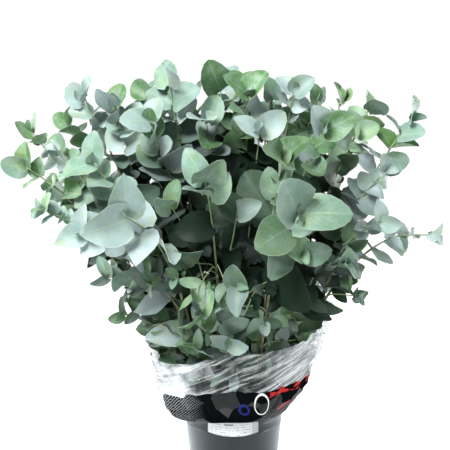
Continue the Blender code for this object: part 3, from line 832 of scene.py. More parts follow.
def inks(material, place, printed, print_axes, height):
    """The colour of the band: black, with its blue, red and white patches on it."""
    net = net_of_dots(material, printed, print_axes)
    red = red_stroke(material, place, print_axes, height)
    near_blue = off_line(material, oval(material, printed, *BLUE_OVAL))
    blue_line = add_node(material, "MapRange", {
        "Value": near_blue.outputs["Value"], "From Min": SOFT_LINE[0],
        "From Max": SOFT_LINE[1], "To Min": 0.55, "To Max": 0.0})
    near_ring = off_line(material, oval(material, printed, *WHITE_OVAL))
    ring = add_node(material, "Math", {
        0: near_ring.outputs["Value"], 1: PLAIN_LINE}, operation="LESS_THAN")
    dash_reach = oval(material, printed, *RED_DASH)
    red_dash = add_node(material, "Math", {
        0: dash_reach.outputs["Value"], 1: 1.0}, operation="LESS_THAN")
    any_red = add_node(material, "Math", {
        0: red.outputs["Value"], 1: red_dash.outputs["Value"]}, operation="MAXIMUM")
    blued = add_node(material, "Mix", {
        0: blue_line.outputs["Result"], 6: paint("#0C0E10"), 7: paint("#393C92")},
        data_type="RGBA")
    warm = add_node(material, "Mix", {
        0: any_red.outputs["Value"], 6: blued.outputs[2], 7: paint("#B8322F")},
        data_type="RGBA")
    ringed = add_node(material, "Mix", {
        0: ring.outputs["Value"], 6: warm.outputs[2], 7: paint("#E8ECEE")}, data_type="RGBA")
    return add_node(material, "Mix", {
        0: net.outputs["Value"], 6: ringed.outputs[2], 7: paint("#D9DEE0")}, data_type="RGBA")


print("black ink:", tuple(round(c, 4) for c in paint("#0C0E10")[:3]))

# %% [markdown]
# Clear film shows itself by its creases. Where many fine ones lie side by side they look like
# streaks of white haze; the haze also stands for painted glare: there the white film is made
# more opaque. Half of the creases lie in the shade of the other half, and that shade is painted
# as a greyer colour. The film is also milky in patches at the left and along its right flare,
# partly haze and partly painted glare, and clear in the middle.

# %% Haze and painted glare in the film
# In metres: a streak's size across and up, before it is turned, and a patch of milky haze and
# painted glare. Then where that begins and ends from left to right.
STREAK = (0.075, 0.075, 0.0055)
STREAK_TURN = math.radians(-26)
MILKY_AND_GLARE_PATCH = 0.055
MILKY_AND_GLARE_LEFT = (-0.10, -0.03)
MILKY_AND_GLARE_RIGHT = (0.05, 0.15)


def film_haze_and_glare(material, place):
    """How hazy the film is, with its painted glare, and its colour with painted shade in the
    creases.
    """
    swept = add_node(material, "Mapping", {
        "Vector": place.outputs["Object"], "Rotation": (0.0, STREAK_TURN, 0.0),
        "Scale": STREAK}, vector_type="TEXTURE")
    streaks = add_node(material, "TexNoise", {
        "Vector": swept.outputs["Vector"], "Scale": 1.0, "Detail": 5.0, "Roughness": 0.65})
    # Fine streaks of white: haze, and painted glare.
    fine = add_node(material, "MapRange", {
        "Value": streaks.outputs["Fac"], "From Min": 0.50, "From Max": 0.72, "To Min": 0.0,
        "To Max": 0.46})
    sides = add_node(material, "SeparateXYZ", {"Vector": place.outputs["Object"]})
    # Milky patches at the left and along the right flare: haze, and painted glare.
    milky_and_glare_left = add_node(material, "MapRange", {
        "Value": sides.outputs["X"], "From Min": MILKY_AND_GLARE_LEFT[0], "From Max": MILKY_AND_GLARE_LEFT[1],
        "To Min": 0.80, "To Max": 0.0})
    milky_and_glare_right = add_node(material, "MapRange", {
        "Value": sides.outputs["X"], "From Min": MILKY_AND_GLARE_RIGHT[0], "From Max": MILKY_AND_GLARE_RIGHT[1],
        "To Min": 0.0, "To Max": 0.40})
    milky_and_glare = add_node(material, "Math", {
        0: milky_and_glare_left.outputs["Result"], 1: milky_and_glare_right.outputs["Result"]},
        operation="MAXIMUM")
    clouds = add_node(material, "TexNoise", {
        "Vector": place.outputs["Object"], "Scale": 1 / MILKY_AND_GLARE_PATCH, "Detail": 3.0,
        "Roughness": 0.5})
    cloudy = add_node(material, "MapRange", {
        "Value": clouds.outputs["Fac"], "From Min": 0.38, "From Max": 0.62})
    milk_and_glare = add_node(material, "Math", {
        0: milky_and_glare.outputs["Value"], 1: cloudy.outputs["Result"]}, operation="MULTIPLY")
    haze_and_glare = add_node(material, "Math", {
        0: fine.outputs["Result"], 1: milk_and_glare.outputs["Value"]}, operation="ADD")
    # Painted shade: the film is greyer where the streak noise is low.
    shady = add_node(material, "MapRange", {
        "Value": streaks.outputs["Fac"], "From Min": 0.40, "From Max": 0.60, "To Min": 0.60,
        "To Max": 0.0})
    painted_crease_shade = add_node(material, "Mix", {
        0: shady.outputs["Result"], 6: paint("#F4F8FA"), 7: paint("#B4C2C9")},
        data_type="RGBA")
    return haze_and_glare, painted_crease_shade


print("milky patches of", MILKY_AND_GLARE_PATCH * 1000, "mm")

# %% [markdown]
# The finish is mostly transparent, with a sharp gloss, a fine crinkle bump, and more body where
# the sheet is seen along its surface. The ink is dull and quite black, and here and there a
# flat between two of its creases has a stronger gloss, so that it catches the light.

# %% Sleeve finish
# In metres: a crinkle, and a flat between two folds.
CRINKLE = 0.006
FOLD_FLAT = 0.042


def clear_film():
    material = new_finish("clear cast polypropylene film")
    flat = add_node(material, "UVMap")
    place = add_node(material, "TexCoord")
    printed = add_node(material, "VectorMath", {
        0: flat.outputs["UV"], 1: PRINT_SIZE}, operation="MULTIPLY")
    print_axes = add_node(material, "SeparateXYZ", {"Vector": printed.outputs["Vector"]})
    height, shift = band_height(material, place)
    band = ink_band(material, flat, print_axes, height, shift)
    ink = inks(material, place, printed, print_axes, height)
    haze_and_glare, painted_crease_shade = film_haze_and_glare(material, place)
    # The clear film's colour carries the painted crease shade; on the band the ink covers it.
    colour = add_node(material, "Mix", {
        0: band.outputs["Value"], 6: painted_crease_shade.outputs[2], 7: ink.outputs[2]}, data_type="RGBA")
    grazing = add_node(material, "LayerWeight", {"Blend": 0.35})
    body = add_node(material, "MapRange", {
        "Value": grazing.outputs["Facing"], "To Min": 0.0, "To Max": 0.20})
    # The haze, with its painted glare, makes the white film more opaque.
    clear = add_node(material, "Math", {
        0: body.outputs["Result"], 1: haze_and_glare.outputs["Value"]}, operation="ADD", use_clamp=True)
    # A Mix node of numbers takes them in its sockets 2 and 3, and gives them at output 0.
    alpha = add_node(material, "Mix", {
        0: band.outputs["Value"], 2: clear.outputs["Value"], 3: 1.0}, data_type="FLOAT")
    crinkle = add_node(material, "TexVoronoi", {
        "Vector": place.outputs["Object"], "Scale": 1 / CRINKLE})
    bump = add_node(material, "Bump", {
        "Height": crinkle.outputs["Distance"], "Strength": 0.35, "Distance": 0.0012})
    flats = add_node(material, "TexVoronoi", {
        "Vector": place.outputs["Object"], "Scale": 1 / FOLD_FLAT})
    pick_flat = add_node(material, "SeparateColor", {"Color": flats.outputs["Color"]})
    caught = add_node(material, "MapRange", {
        "Value": pick_flat.outputs["Red"], "From Min": 0.60, "From Max": 0.95, "To Min": 0.0,
        "To Max": 0.9})
    shine = add_node(material, "Mix", {
        0: band.outputs["Value"], 2: 0.9, 3: caught.outputs["Result"]}, data_type="FLOAT")
    surface = add_node(material, "BsdfPrincipled", {
        "Base Color": colour.outputs[2], "Roughness": 0.16, "IOR": 1.6,
        "Specular IOR Level": shine.outputs[0], "Alpha": alpha.outputs[0],
        "Normal": bump.outputs["Normal"]})
    add_node(material, "OutputMaterial", {"Surface": surface.outputs["BSDF"]})
    return material


sleeve.data.materials.clear()
sleeve.data.materials.append(clear_film())
print("sleeve finish made")

# %% [markdown]
# Each branch is a main stem with a few side shoots. The table below gives where it leaves the
# bucket (degrees round the rim, metres from the axis), the tip of its main stem, the length of
# its largest leaves, the share of that length left at the tip, and its side shoots as (share
# of the way up, tip, leaf length). The stems follow the frame's stems exactly.

# %% Branch table
BRANCHES = {
    "branch_left_star": (232, 0.068, (-0.172, -0.235, 0.648), 0.089, 0.85, [
        (0.50, (-0.238, -0.130, 0.722), 0.077),
        (0.62, (-0.250, -0.175, 0.612), 0.072),
    ]),
    "branch_right_star": (300, 0.068, (0.100, -0.262, 0.660), 0.096, 0.85, [
        (0.45, (0.078, -0.190, 0.735), 0.084),
        (0.55, (0.112, -0.205, 0.582), 0.074),
    ]),
    "branch_front_star": (256, 0.068, (-0.048, -0.225, 0.708), 0.073, 0.74, [
        (0.52, (-0.105, -0.170, 0.655), 0.065),
        (0.60, (0.004, -0.180, 0.645), 0.067),
    ]),
    "branch_low_front": (276, 0.068, (0.004, -0.225, 0.532), 0.071, 0.74, [
        (0.46, (-0.055, -0.195, 0.480), 0.070),
        (0.70, (0.048, -0.205, 0.520), 0.042),
        (0.26, (-0.010, -0.165, 0.415), 0.065),
    ]),
    "branch_low_left": (208, 0.068, (-0.150, -0.165, 0.570), 0.071, 0.69, [
        (0.40, (-0.222, -0.085, 0.512), 0.056),
        (0.28, (-0.196, -0.075, 0.440), 0.049),
    ]),
    "branch_far_left": (184, 0.068, (-0.366, -0.030, 0.698), 0.060, 0.74, [
        (0.62, (-0.362, 0.020, 0.752), 0.054),
        (0.55, (-0.330, -0.085, 0.632), 0.044),
        (0.40, (-0.262, 0.070, 0.655), 0.062),
        (0.60, (-0.300, -0.060, 0.730), 0.052),
    ]),
    "branch_upper_left": (160, 0.068, (-0.266, 0.020, 0.814), 0.062, 0.75, [
        (0.66, (-0.210, -0.030, 0.806), 0.056),
        (0.60, (-0.300, 0.065, 0.764), 0.052),
    ]),
    "branch_tall_left": (200, 0.034, (-0.112, -0.050, 0.846), 0.071, 0.74, [
        (0.62, (-0.142, -0.120, 0.790), 0.063),
        (0.58, (-0.186, 0.000, 0.770), 0.060),
        (0.70, (-0.155, 0.030, 0.820), 0.060),
    ]),
    "branch_tall_middle": (100, 0.034, (-0.024, 0.030, 0.828), 0.078, 0.76, [
        (0.60, (-0.048, -0.085, 0.786), 0.067),
        (0.78, (0.014, 0.004, 0.842), 0.046),
        (0.68, (-0.074, 0.062, 0.812), 0.066),
    ]),
    "branch_tall_front": (290, 0.034, (0.024, -0.040, 0.826), 0.073, 0.76, [
        (0.62, (0.070, 0.040, 0.812), 0.060),
        (0.50, (0.042, -0.110, 0.770), 0.070),
    ]),
    "branch_tall_right": (12, 0.034, (0.104, 0.000, 0.826), 0.064, 0.64, [
        (0.68, (0.150, 0.040, 0.808), 0.049),
        (0.58, (0.150, -0.090, 0.770), 0.072),
    ]),
    "branch_upper_right": (30, 0.068, (0.244, 0.050, 0.790), 0.060, 0.72, [
        (0.70, (0.200, 0.105, 0.800), 0.054),
        (0.62, (0.214, -0.010, 0.752), 0.060),
    ]),
    "branch_far_right": (6, 0.068, (0.312, 0.000, 0.778), 0.055, 0.85, [
        (0.50, (0.262, -0.060, 0.696), 0.051),
    ]),
    "branch_low_right": (335, 0.068, (0.350, -0.020, 0.572), 0.055, 0.76, [
        (0.36, (0.214, -0.070, 0.474), 0.053),
        (0.52, (0.255, -0.080, 0.610), 0.058),
        (0.42, (0.186, -0.140, 0.552), 0.056),
    ]),
    "branch_back_left": (130, 0.068, (-0.162, 0.205, 0.750), 0.075, 0.76, [
        (0.45, (-0.245, 0.185, 0.610), 0.065),
        (0.30, (-0.150, 0.190, 0.470), 0.065),
    ]),
    "branch_back": (88, 0.068, (-0.006, 0.245, 0.772), 0.078, 0.76, [
        (0.55, (-0.070, 0.225, 0.650), 0.070),
        (0.36, (0.020, 0.215, 0.505), 0.070),
    ]),
    "branch_back_right": (54, 0.068, (0.150, 0.205, 0.742), 0.073, 0.74, [
        (0.48, (0.232, 0.170, 0.600), 0.065),
        (0.30, (0.165, 0.165, 0.462), 0.063),
    ]),
}
print("branches:", len(BRANCHES))

# %% [markdown]
# A stem is a spine of points with a radius at each. It could be a curve object, but leaves
# need to ask it for a place, a heading and a side at any length along it, so it is a small
# class of its own. Each stem starts turned by the golden angle from the one before, so that
# their pairs of leaves face different ways.

# %% Stem spines
GOLDEN_ANGLE = math.radians(137.5)


def bezier(controls, t):
    a, b, c, d = controls
    s = 1 - t
    return a * s ** 3 + b * (3 * s * s * t) + c * (3 * s * t * t) + d * t ** 3


def along_curve(controls, count):
    return [bezier(controls, i / (count - 1)) for i in range(count)]


def taper(first, last, count):
    return [first + (last - first) * i / (count - 1) for i in range(count)]


def tree_of(points, faces):
    return BVHTree.FromPolygons([tuple(p) for p in points], faces)


class Stem:
    """A tapering square twig along a spine of points. Its pairs of leaves face its flats."""

    def __init__(self, name, spine, radii, number, leaf, tip_share):
        self.name = name
        self.spine = spine
        self.radii = radii
        self.leaf = leaf
        self.tip_share = tip_share
        self.steps = [(b - a).length for a, b in zip(spine, spine[1:])]
        ahead = self.ahead(0)
        side = Matrix.Rotation(number * GOLDEN_ANGLE, 3, ahead) @ ahead.orthogonal().normalized()
        self.sides = []
        for i in range(len(spine)):
            ahead = self.ahead(i)
            side = (side - ahead * side.dot(ahead)).normalized()
            self.sides.append(side)

    def ahead(self, i):
        """The way the spine runs through one of its points."""
        before, after = self.spine[max(i - 1, 0)], self.spine[min(i + 1, len(self.spine) - 1)]
        return (after - before).normalized()

    def length(self):
        return sum(self.steps)

    def at(self, along):
        """(point, heading, side, radius) at a length along the spine."""
        i = 0
        while i < len(self.steps) - 1 and along > self.steps[i]:
            along -= self.steps[i]
            i += 1
        share = along / self.steps[i]
        heading = (self.spine[i + 1] - self.spine[i]).normalized()
        side = self.sides[i].lerp(self.sides[i + 1], share)
        side = (side - heading * side.dot(heading)).normalized()
        radius = self.radii[i] + (self.radii[i + 1] - self.radii[i]) * share
        return self.spine[i].lerp(self.spine[i + 1], share), heading, side, radius

    def solid(self, wider=0.0, corners=4):
        """Points and faces of the stem, closed at both ends."""
        points = []
        for i, centre in enumerate(self.spine):
            side = self.sides[i]
            across = self.ahead(i).cross(side)
            for s in range(corners):
                angle = 2 * math.pi * (s + 0.5) / corners
                spoke = side * math.cos(angle) + across * math.sin(angle)
                points.append(centre + spoke * (self.radii[i] + wider))
        faces = [tuple(range(corners - 1, -1, -1))]
        for row in range(len(self.spine) - 1):
            for s in range(corners):
                a = row * corners + s
                b = row * corners + (s + 1) % corners
                faces.append((a, b, b + corners, a + corners))
        last = (len(self.spine) - 1) * corners
        faces.append(tuple(range(last, last + corners)))
        return points, faces


print("a Stem can be asked for", [each for each in vars(Stem) if not each.startswith("_")])

# %% [markdown]
# A main stem rises straight from its foot to the rim and then curves out to its tip. A side
# shoot leaves its parent and is bowed round whatever is in its way, a little further on each
# try, so no two branches cross.

# %% Main stems and side shoots
# Feet stand nearer the middle than the rim crossings, by FOOT_SPREAD. A stem's curve leaves its
# start over LEAVE of its span and settles to its tip over ARRIVE of it. A side shoot keeps
# FOLLOW of its parent's heading.
FOOT_SPREAD = 0.42
FOOT_LIFT = 0.0008
STEM_FOOT_RADIUS = 0.0042
STEM_TIP_RADIUS = 0.0011
MAIN_RINGS = 7
LEAVE = 0.45
ARRIVE = 0.30
FOLLOW = 0.6
SHOOT_TAPER = 0.62
SHOOT_TIP_SHARE = 0.70
SHOOT_RINGS = 4
SHOOT_TRIES = 80
BOWS_PER_ROUND = 8
BOW_STEP = 0.006
SLIDE_STEP = 0.01
LEVEL_HEIGHT = 0.70
LIFT_PER_METRE = 4.0
CROWN_HEART = Vector((0.0, 0.02, 0.44))
# Leaves of different branches keep this far apart.
CLEAR = 0.0006


def outward(tip):
    """Which way a shoot points at its tip: away from the crown's heart. High tips point more
    upward than that, and low ones droop."""
    lift = (tip.z - LEVEL_HEIGHT) * LIFT_PER_METRE
    return ((tip - CROWN_HEART).normalized() + Vector((0, 0, lift))).normalized()


def main_stem(name, number):
    """A branch's main stem: straight up to the rim, and then it curves to its tip."""
    turn, reach, tip, leaf, tip_share, _ = BRANCHES[name]
    angle = math.radians(turn)
    tip = Vector(tip)
    waist = Vector((reach * math.cos(angle), reach * math.sin(angle), BUCKET_HEIGHT))
    foot = Vector((waist.x * FOOT_SPREAD, waist.y * FOOT_SPREAD, BUCKET_FLOOR + FOOT_LIFT))
    rising = (waist - foot).normalized()
    span = (tip - waist).length
    leaving = (rising + (tip - waist).normalized()).normalized()
    curve = (waist, waist + leaving * span * LEAVE, tip - outward(tip) * span * ARRIVE, tip)
    spine = [foot] + along_curve(curve, MAIN_RINGS)
    radii = taper(STEM_FOOT_RADIUS, STEM_TIP_RADIUS, len(spine))
    return Stem(name + "/main", spine, radii, number, leaf, tip_share)


def side_shoot(name, number, parent, obstacles):
    """A side shoot. It is bowed away from other branches in its way, a little further each
    time, and leaves its parent a little lower."""
    share, tip, leaf = BRANCHES[name][5][number]
    tip = Vector(tip)
    own = [parent.name] + [f"{name}/{earlier}" for earlier in range(number)]
    for attempt in range(SHOOT_TRIES):
        round_number = math.ceil(attempt / BOWS_PER_ROUND)
        along = (share - SLIDE_STEP * round_number) * parent.length()
        start, heading, _, thick = parent.at(along)
        radii = taper(thick * SHOOT_TAPER, STEM_TIP_RADIUS, SHOOT_RINGS)
        span = (tip - start).length
        aim = (tip - start).normalized()
        leaving = (aim + heading * FOLLOW).normalized()
        turn = Matrix.Rotation(2 * math.pi * attempt / BOWS_PER_ROUND, 3, aim)
        bow = turn @ aim.orthogonal().normalized() * BOW_STEP * round_number
        curve = (start, start + leaving * span * LEAVE + bow,
                 tip - outward(tip) * span * ARRIVE + bow / 2, tip)
        spine = along_curve(curve, SHOOT_RINGS)
        shoot = Stem(f"{name}/{number}", spine, radii, number, leaf, SHOOT_TIP_SHARE)
        if not obstacles.meets(*shoot.solid(wider=2 * CLEAR), skip=own):
            return shoot
    raise RuntimeError(f"{name} shoot {number} has no clear way")


print("a shoot gets", SHOOT_TRIES, "tries")

# %% [markdown]
# What is already placed is kept as search trees, which find crossings of two meshes fast. Far
# pairs are skipped by the distance of their middles, which saves most of the searches.

# %% Stems in their places
class Obstacles:
    """Everything already placed, as (name, middle, reach, tree), to keep new leaves clear."""

    def __init__(self):
        self.kept = []

    def add(self, name, points, faces):
        middle = sum(points, Vector()) / len(points)
        reach = max((p - middle).length for p in points)
        self.kept.append((name, middle, reach, tree_of(points, faces)))

    def meets(self, points, faces, skip=()):
        middle = sum(points, Vector()) / len(points)
        reach = max((p - middle).length for p in points)
        tree = None
        for name, other, other_reach, other_tree in self.kept:
            if name in skip or (other - middle).length > reach + other_reach:
                continue
            tree = tree or tree_of(points, faces)
            if tree.overlap(other_tree):
                return True
        return False


def seen_as_obstacle(name, obstacles):
    """Adds a node of the frame to what stems and leaves keep clear of."""
    mesh = frame["nodes"][name].data
    points = [v.co.copy() for v in mesh.vertices]
    obstacles.add(name, points, [tuple(p.vertices) for p in mesh.polygons])


obstacles = Obstacles()
seen_as_obstacle("bucket", obstacles)
seen_as_obstacle("sleeve", obstacles)
branches = {name: [main_stem(name, i)] for i, name in enumerate(BRANCHES)}
for stems in branches.values():
    obstacles.add(stems[0].name, *stems[0].solid())
for name, stems in branches.items():
    for number in range(len(BRANCHES[name][5])):
        shoot = side_shoot(name, number, stems[0], obstacles)
        stems.append(shoot)
        obstacles.add(shoot.name, *shoot.solid())
print("stems:", sum(len(stems) for stems in branches.values()))

# %% [markdown]
# Every leaf is tried at a few angles, and the first that crosses nothing is kept. The fine
# leaf would be slow to test, so a coarse blade with flat facets stands in for it.

# %% A coarse leaf
LEAF_THICK = 0.0007
LEAF_ROOT = 0.5
MIDDLE_SHARE = 0.42
FULL_OUTLINE_OVER = 0.070
# Leaves longer than each length have this outline, as (share along, share of the half width).
OUTLINES = [
    (FULL_OUTLINE_OVER, [(0.15, 0.72), (0.43, 1.0), (0.76, 0.60)]),
    (0.030, [(0.23, 0.94), (0.63, 0.84)]),
    (0.000, [(0.42, 1.0)]),
]


def leaf_solid(stem, length, width, arch, fold, thick):
    """A leaf blade with flat facets, closed all round. X runs from base to tip, Y across it,
    Z out of the upper face. Both faces are split alike, as a fan about the middle of a large
    blade or about the tip of a small one. It starts from a point inside the stem, whose
    radius is stem."""
    outline = next(rows for least, rows in OUTLINES if length > least)

    def at(share, half):
        y = half * width / 2
        return Vector((share * length, y, fold * abs(y) - arch * length * share * share))

    root = LEAF_ROOT * stem / length
    rim = [at(1.0, 0.0)] + [at(share, half) for share, half in reversed(outline)]
    rim += [at(root, 0.0)] + [at(share, -half) for share, half in outline]
    if length > FULL_OUTLINE_OVER:
        spots = rim + [at(MIDDLE_SHARE, 0.0)]
        hub = len(rim)
        fan = range(len(rim))
    else:
        spots = rim
        hub = 0
        fan = range(1, len(rim) - 1)
    up = Vector((0, 0, thick / 2))
    points = [p + up for p in spots] + [p - up for p in spots]
    under = len(spots)
    faces = []
    for a in fan:
        b = (a + 1) % len(rim)
        faces += [(hub, a, b), (under + hub, under + b, under + a)]
    for a in range(len(rim)):
        b = (a + 1) % len(rim)
        faces.append((b, a, under + a, under + b))
    return points, faces


def leaf_frame(base, out, facing):
    """The matrix that sets a leaf on its stem. The leaf runs along out, and its upper face
    turns as near to facing as it can."""
    normal = (facing - out * out.dot(facing)).normalized()
    turned = Matrix((out, normal.cross(out), normal)).transposed().to_4x4()
    return Matrix.Translation(base) @ turned


print("outline points by length:", {least: len(rows) for least, rows in OUTLINES})

# %% [markdown]
# On the plant the leaves sit in opposite pairs, straight on the stem, each pair square to the
# next, and they grow to full size some way below the tip. The frame holds the main pairs. The
# real crown is denser, so smaller pairs are set between those, and a bud pair on each tip.

# %% Where the pairs sit
# A pair stands PAIR_SPACING leaf lengths below the last. The other sizes are metres along the
# stem or above the base, and pairs near the axis and low down are hidden by the rest.
PAIR_SPACING = 1.76
FIRST_BELOW_TIP = 0.005
BARE_SHARE = 0.10
FULL_SIZE_AFTER = 0.16
LOWEST_LEAF = 0.318
HIDDEN_REACH = 0.10
HIDDEN_HEIGHT = 0.60
# The pairs between: their share of the neighbours' size, where they sit, the buds, and how low
# they grow.
BETWEEN_SIZE = 0.92
BETWEEN_AT = (0.36, 0.68)
BUD = 0.024
BUD_BELOW_TIP = 0.001
LOWEST_BETWEEN = 0.290


def down_the_stem(stem):
    """Steps from pair to pair, from the tip down, with the length along, the leaf length, the
    angle round the stem, the height and whether the pair is hidden."""
    whole = stem.length()
    along = whole - FIRST_BELOW_TIP
    turn = 0.0
    while along > BARE_SHARE * whole:
        old = min(1.0, (whole - along) / FULL_SIZE_AFTER)
        size = stem.leaf * (stem.tip_share + (1 - stem.tip_share) * old)
        spot = stem.at(along)[0]
        hidden = math.hypot(spot.x, spot.y) < HIDDEN_REACH and spot.z < HIDDEN_HEIGHT
        yield along, size, turn, spot.z, hidden
        turn = math.pi / 2 - turn
        along -= size * PAIR_SPACING


def leafy_places(stem):
    """The frame's pairs, as (length along, leaf length, angle round the stem)."""
    return [(along, size, turn) for along, size, turn, height, hidden in down_the_stem(stem)
            if height > LOWEST_LEAF and not hidden]


def places_between(stem):
    """A bud pair at the tip, pairs between the frame's, and the ones that it left out."""
    whole = stem.length()
    places = [(whole - BUD_BELOW_TIP, BUD, math.pi / 2)]
    for along, size, turn, height, hidden in down_the_stem(stem):
        if height > LOWEST_BETWEEN and (hidden or height < LOWEST_LEAF):
            places.append((along, size * BETWEEN_SIZE, turn))
        for number, share in enumerate(BETWEEN_AT):
            middle = along - size * PAIR_SPACING * share
            if middle > BARE_SHARE * whole and stem.at(middle)[0].z > LOWEST_BETWEEN:
                places.append((middle, size * BETWEEN_SIZE, turn + (number + 1) * math.pi / 4))
    return places


print("pairs of the first branch's main stem:",
      len(leafy_places(branches["branch_left_star"][0])))

# %% [markdown]
# Low down the bunch is thick with short leafy twigs, which hide the stems. Every other one is
# a low twig that rises more. A tip that would leave the bunch's funnel is drawn again.

# %% Low twigs
# Even and odd twigs each have their levels and the stretch of the main stem that they leave.
# Tips stay within TWIG_REACH of the axis at TWIG_FROM, and TWIG_FLARE more for each metre above.
TWIGS = 18
TWIG_TRIES = 14
TWIG_LEVELS = [(0.30, 0.56), (0.285, 0.36)]
TWIG_STRETCHES = [(0.30, 0.75), (0.20, 0.50)]
TWIG_SWING = 1.1
TWIG_RISES = (-0.35, 0.55)
ODD_RISE = 0.5
TWIG_LENGTHS = (0.05, 0.13)
TWIG_BEND = 0.02
TWIG_FROM = 0.30
TWIG_REACH = 0.088
TWIG_FLARE = 0.72
TWIG_RADII = (0.0012, 0.0007)
TWIG_LEAVES = (0.034, 0.050)
# A twig's first pair, its bare foot, the spacing in leaf lengths, a leaf's size at the tip and
# how much it gains for each metre.
TWIG_FIRST = 0.003
TWIG_BARE = 0.015
TWIG_SPACING = 0.62
TWIG_TIP_LEAF = 0.75
TWIG_LEAF_GAIN = 2


def low_twig(name, number, parent, draw):
    """A short leafy twig from a low part of a main stem, or None where none has room."""
    whole = parent.length()
    lowest, highest = TWIG_LEVELS[number % 2]
    for _ in range(TWIG_TRIES):
        along = draw.uniform(*TWIG_STRETCHES[number % 2]) * whole
        start, heading, _, _ = parent.at(along)
        if not lowest < start.z < highest:
            continue
        out = Vector((start.x, start.y, 0)).normalized()
        aim = Matrix.Rotation(draw.uniform(-TWIG_SWING, TWIG_SWING), 3, "Z") @ out
        rise = draw.uniform(*TWIG_RISES) + ODD_RISE * (number % 2)
        aim = (aim + Vector((0, 0, rise))).normalized()
        tip = start + aim * draw.uniform(*TWIG_LENGTHS)
        if math.hypot(tip.x, tip.y) > TWIG_REACH + TWIG_FLARE * (tip.z - TWIG_FROM):
            continue
        curve = (start, start + heading * TWIG_BEND, tip - aim * TWIG_BEND, tip)
        radii = taper(*TWIG_RADII, SHOOT_RINGS)
        twig = Stem(name, along_curve(curve, SHOOT_RINGS), radii, number + 3,
                    draw.uniform(*TWIG_LEAVES), SHOOT_TIP_SHARE)
        if not obstacles.meets(*twig.solid(wider=CLEAR), skip=(parent.name,)):
            return twig
    return None


def twig_places(twig):
    """The pairs of a twig stand close, from its tip down to near its start."""
    places = []
    along = twig.length() - TWIG_FIRST
    turn = 0.0
    while along > TWIG_BARE:
        share = TWIG_TIP_LEAF + TWIG_LEAF_GAIN * (twig.length() - along)
        places.append((along, twig.leaf * share, turn))
        turn = math.pi / 2 - turn
        along -= twig.leaf * TWIG_SPACING
    return places


print("at most", TWIGS, "twigs on a branch")

# %% [markdown]
# A leaf spreads from its stem by an angle that is smaller while it is young, and turns its
# face out of the bunch and up to the light. After a crossing it is drawn again, a little
# looser and shorter each time.

# %% Placing the leaves
LEAF_WIDTH_SHARE = 0.80
YOUNG_STRETCH = 0.10
OLD_SPREAD = 72
YOUNG_LESS = 30
LENGTHS = (0.90, 1.08)
WIDTHS = (0.88, 1.06)
ARCHES = (0.02, 0.20)
FOLDS = (0.05, 0.32)
LOOSE = 0.10
LOOSER = 0.04
SHORTER = 0.022
CROWN_AXIS = Vector((0.0, 0.07, 0.0))
ACROSS_SHARE = 0.25
SHOWN_FACE = 0.75
# Spots that stay open and dark, as (middle, reach).
HOLLOWS = [((-0.030, -0.150, 0.600), 0.075), ((0.035, -0.150, 0.540), 0.075),
           ((-0.070, -0.130, 0.560), 0.050), ((0.030, -0.080, 0.700), 0.055),
           ((0.140, -0.100, 0.400), 0.050), ((0.170, -0.060, 0.440), 0.045)]


def in_hollow(spot):
    """True in a shaded hollow of the crown, where few leaves grow."""
    return any((spot - Vector(middle)).length < reach for middle, reach in HOLLOWS)


def place_leaves(stem, places, tries, any_way, face_up, leave_hollows, draw):
    """Returns the kept leaves, each as a dictionary of its place and its proportions. any_way
    is how far their faces may turn from outward, and face_up how much they turn upward."""
    kept = []
    for along, size, turn in places:
        base, forward, side, radius = stem.at(along)
        if leave_hollows and in_hollow(base):
            continue
        young = max(0.0, 1 - (stem.length() - along) / YOUNG_STRETCH)
        away = base - CROWN_AXIS
        away = Vector((away.x * ACROSS_SHARE, away.y, 0)).normalized()
        pair = []
        for half_turn in (0.0, math.pi):
            for attempt in range(tries):
                loose = LOOSE + LOOSER * attempt
                about = turn + half_turn + draw.uniform(-loose, loose)
                spread = math.radians(OLD_SPREAD - YOUNG_LESS * young)
                spread += 2 * draw.uniform(-loose, loose)
                length = size * draw.uniform(*LENGTHS) * (1 - SHORTER * attempt)
                width = length * LEAF_WIDTH_SHARE * draw.uniform(*WIDTHS)
                arch = draw.uniform(*ARCHES)
                fold = draw.uniform(*FOLDS)
                facing = away + Vector([draw.uniform(-any_way, any_way) for _ in "xyz"])
                facing = (facing + Vector((0, 0, face_up))).normalized()
                toward = Matrix.Rotation(about, 3, forward) @ side
                out = forward * math.cos(spread) + toward * math.sin(spread)
                out = (out - facing * out.dot(facing) * SHOWN_FACE * (1 - young)).normalized()
                seat = leaf_frame(base, out, facing)
                room = 2 * CLEAR
                grown = leaf_solid(radius, length + room, width + room, arch, fold,
                                   LEAF_THICK + room)
                if not obstacles.meets([seat @ p for p in grown[0]], grown[1], (stem.name,)):
                    points, faces = leaf_solid(radius, length, width, arch, fold, LEAF_THICK)
                    leaf = {"stem": stem, "along": along, "seat": seat, "length": length,
                            "width": width, "arch": arch, "fold": fold, "radius": radius,
                            "young": young}
                    pair.append((leaf, [seat @ p for p in points], faces))
                    break
        for leaf, points, faces in pair:
            obstacles.add(stem.name + "/leaf", points, faces)
            kept.append(leaf)
    return kept


print("hollows:", len(HOLLOWS))

# %% [markdown]
# The first pass draws the same numbers as the frame did, so it gives the frame's leaves. Two
# more passes, each with its own seed, fill in the pairs between those and the low twigs.

# %% All the leaves
SEED = 11
TRIES = 14
FACE_RANDOM = 0.45
FACE_UP = 0.40
BETWEEN_TRIES = 9
BETWEEN_RANDOM = 0.85
BETWEEN_UP = 0.80
LOW_UP = 0.15

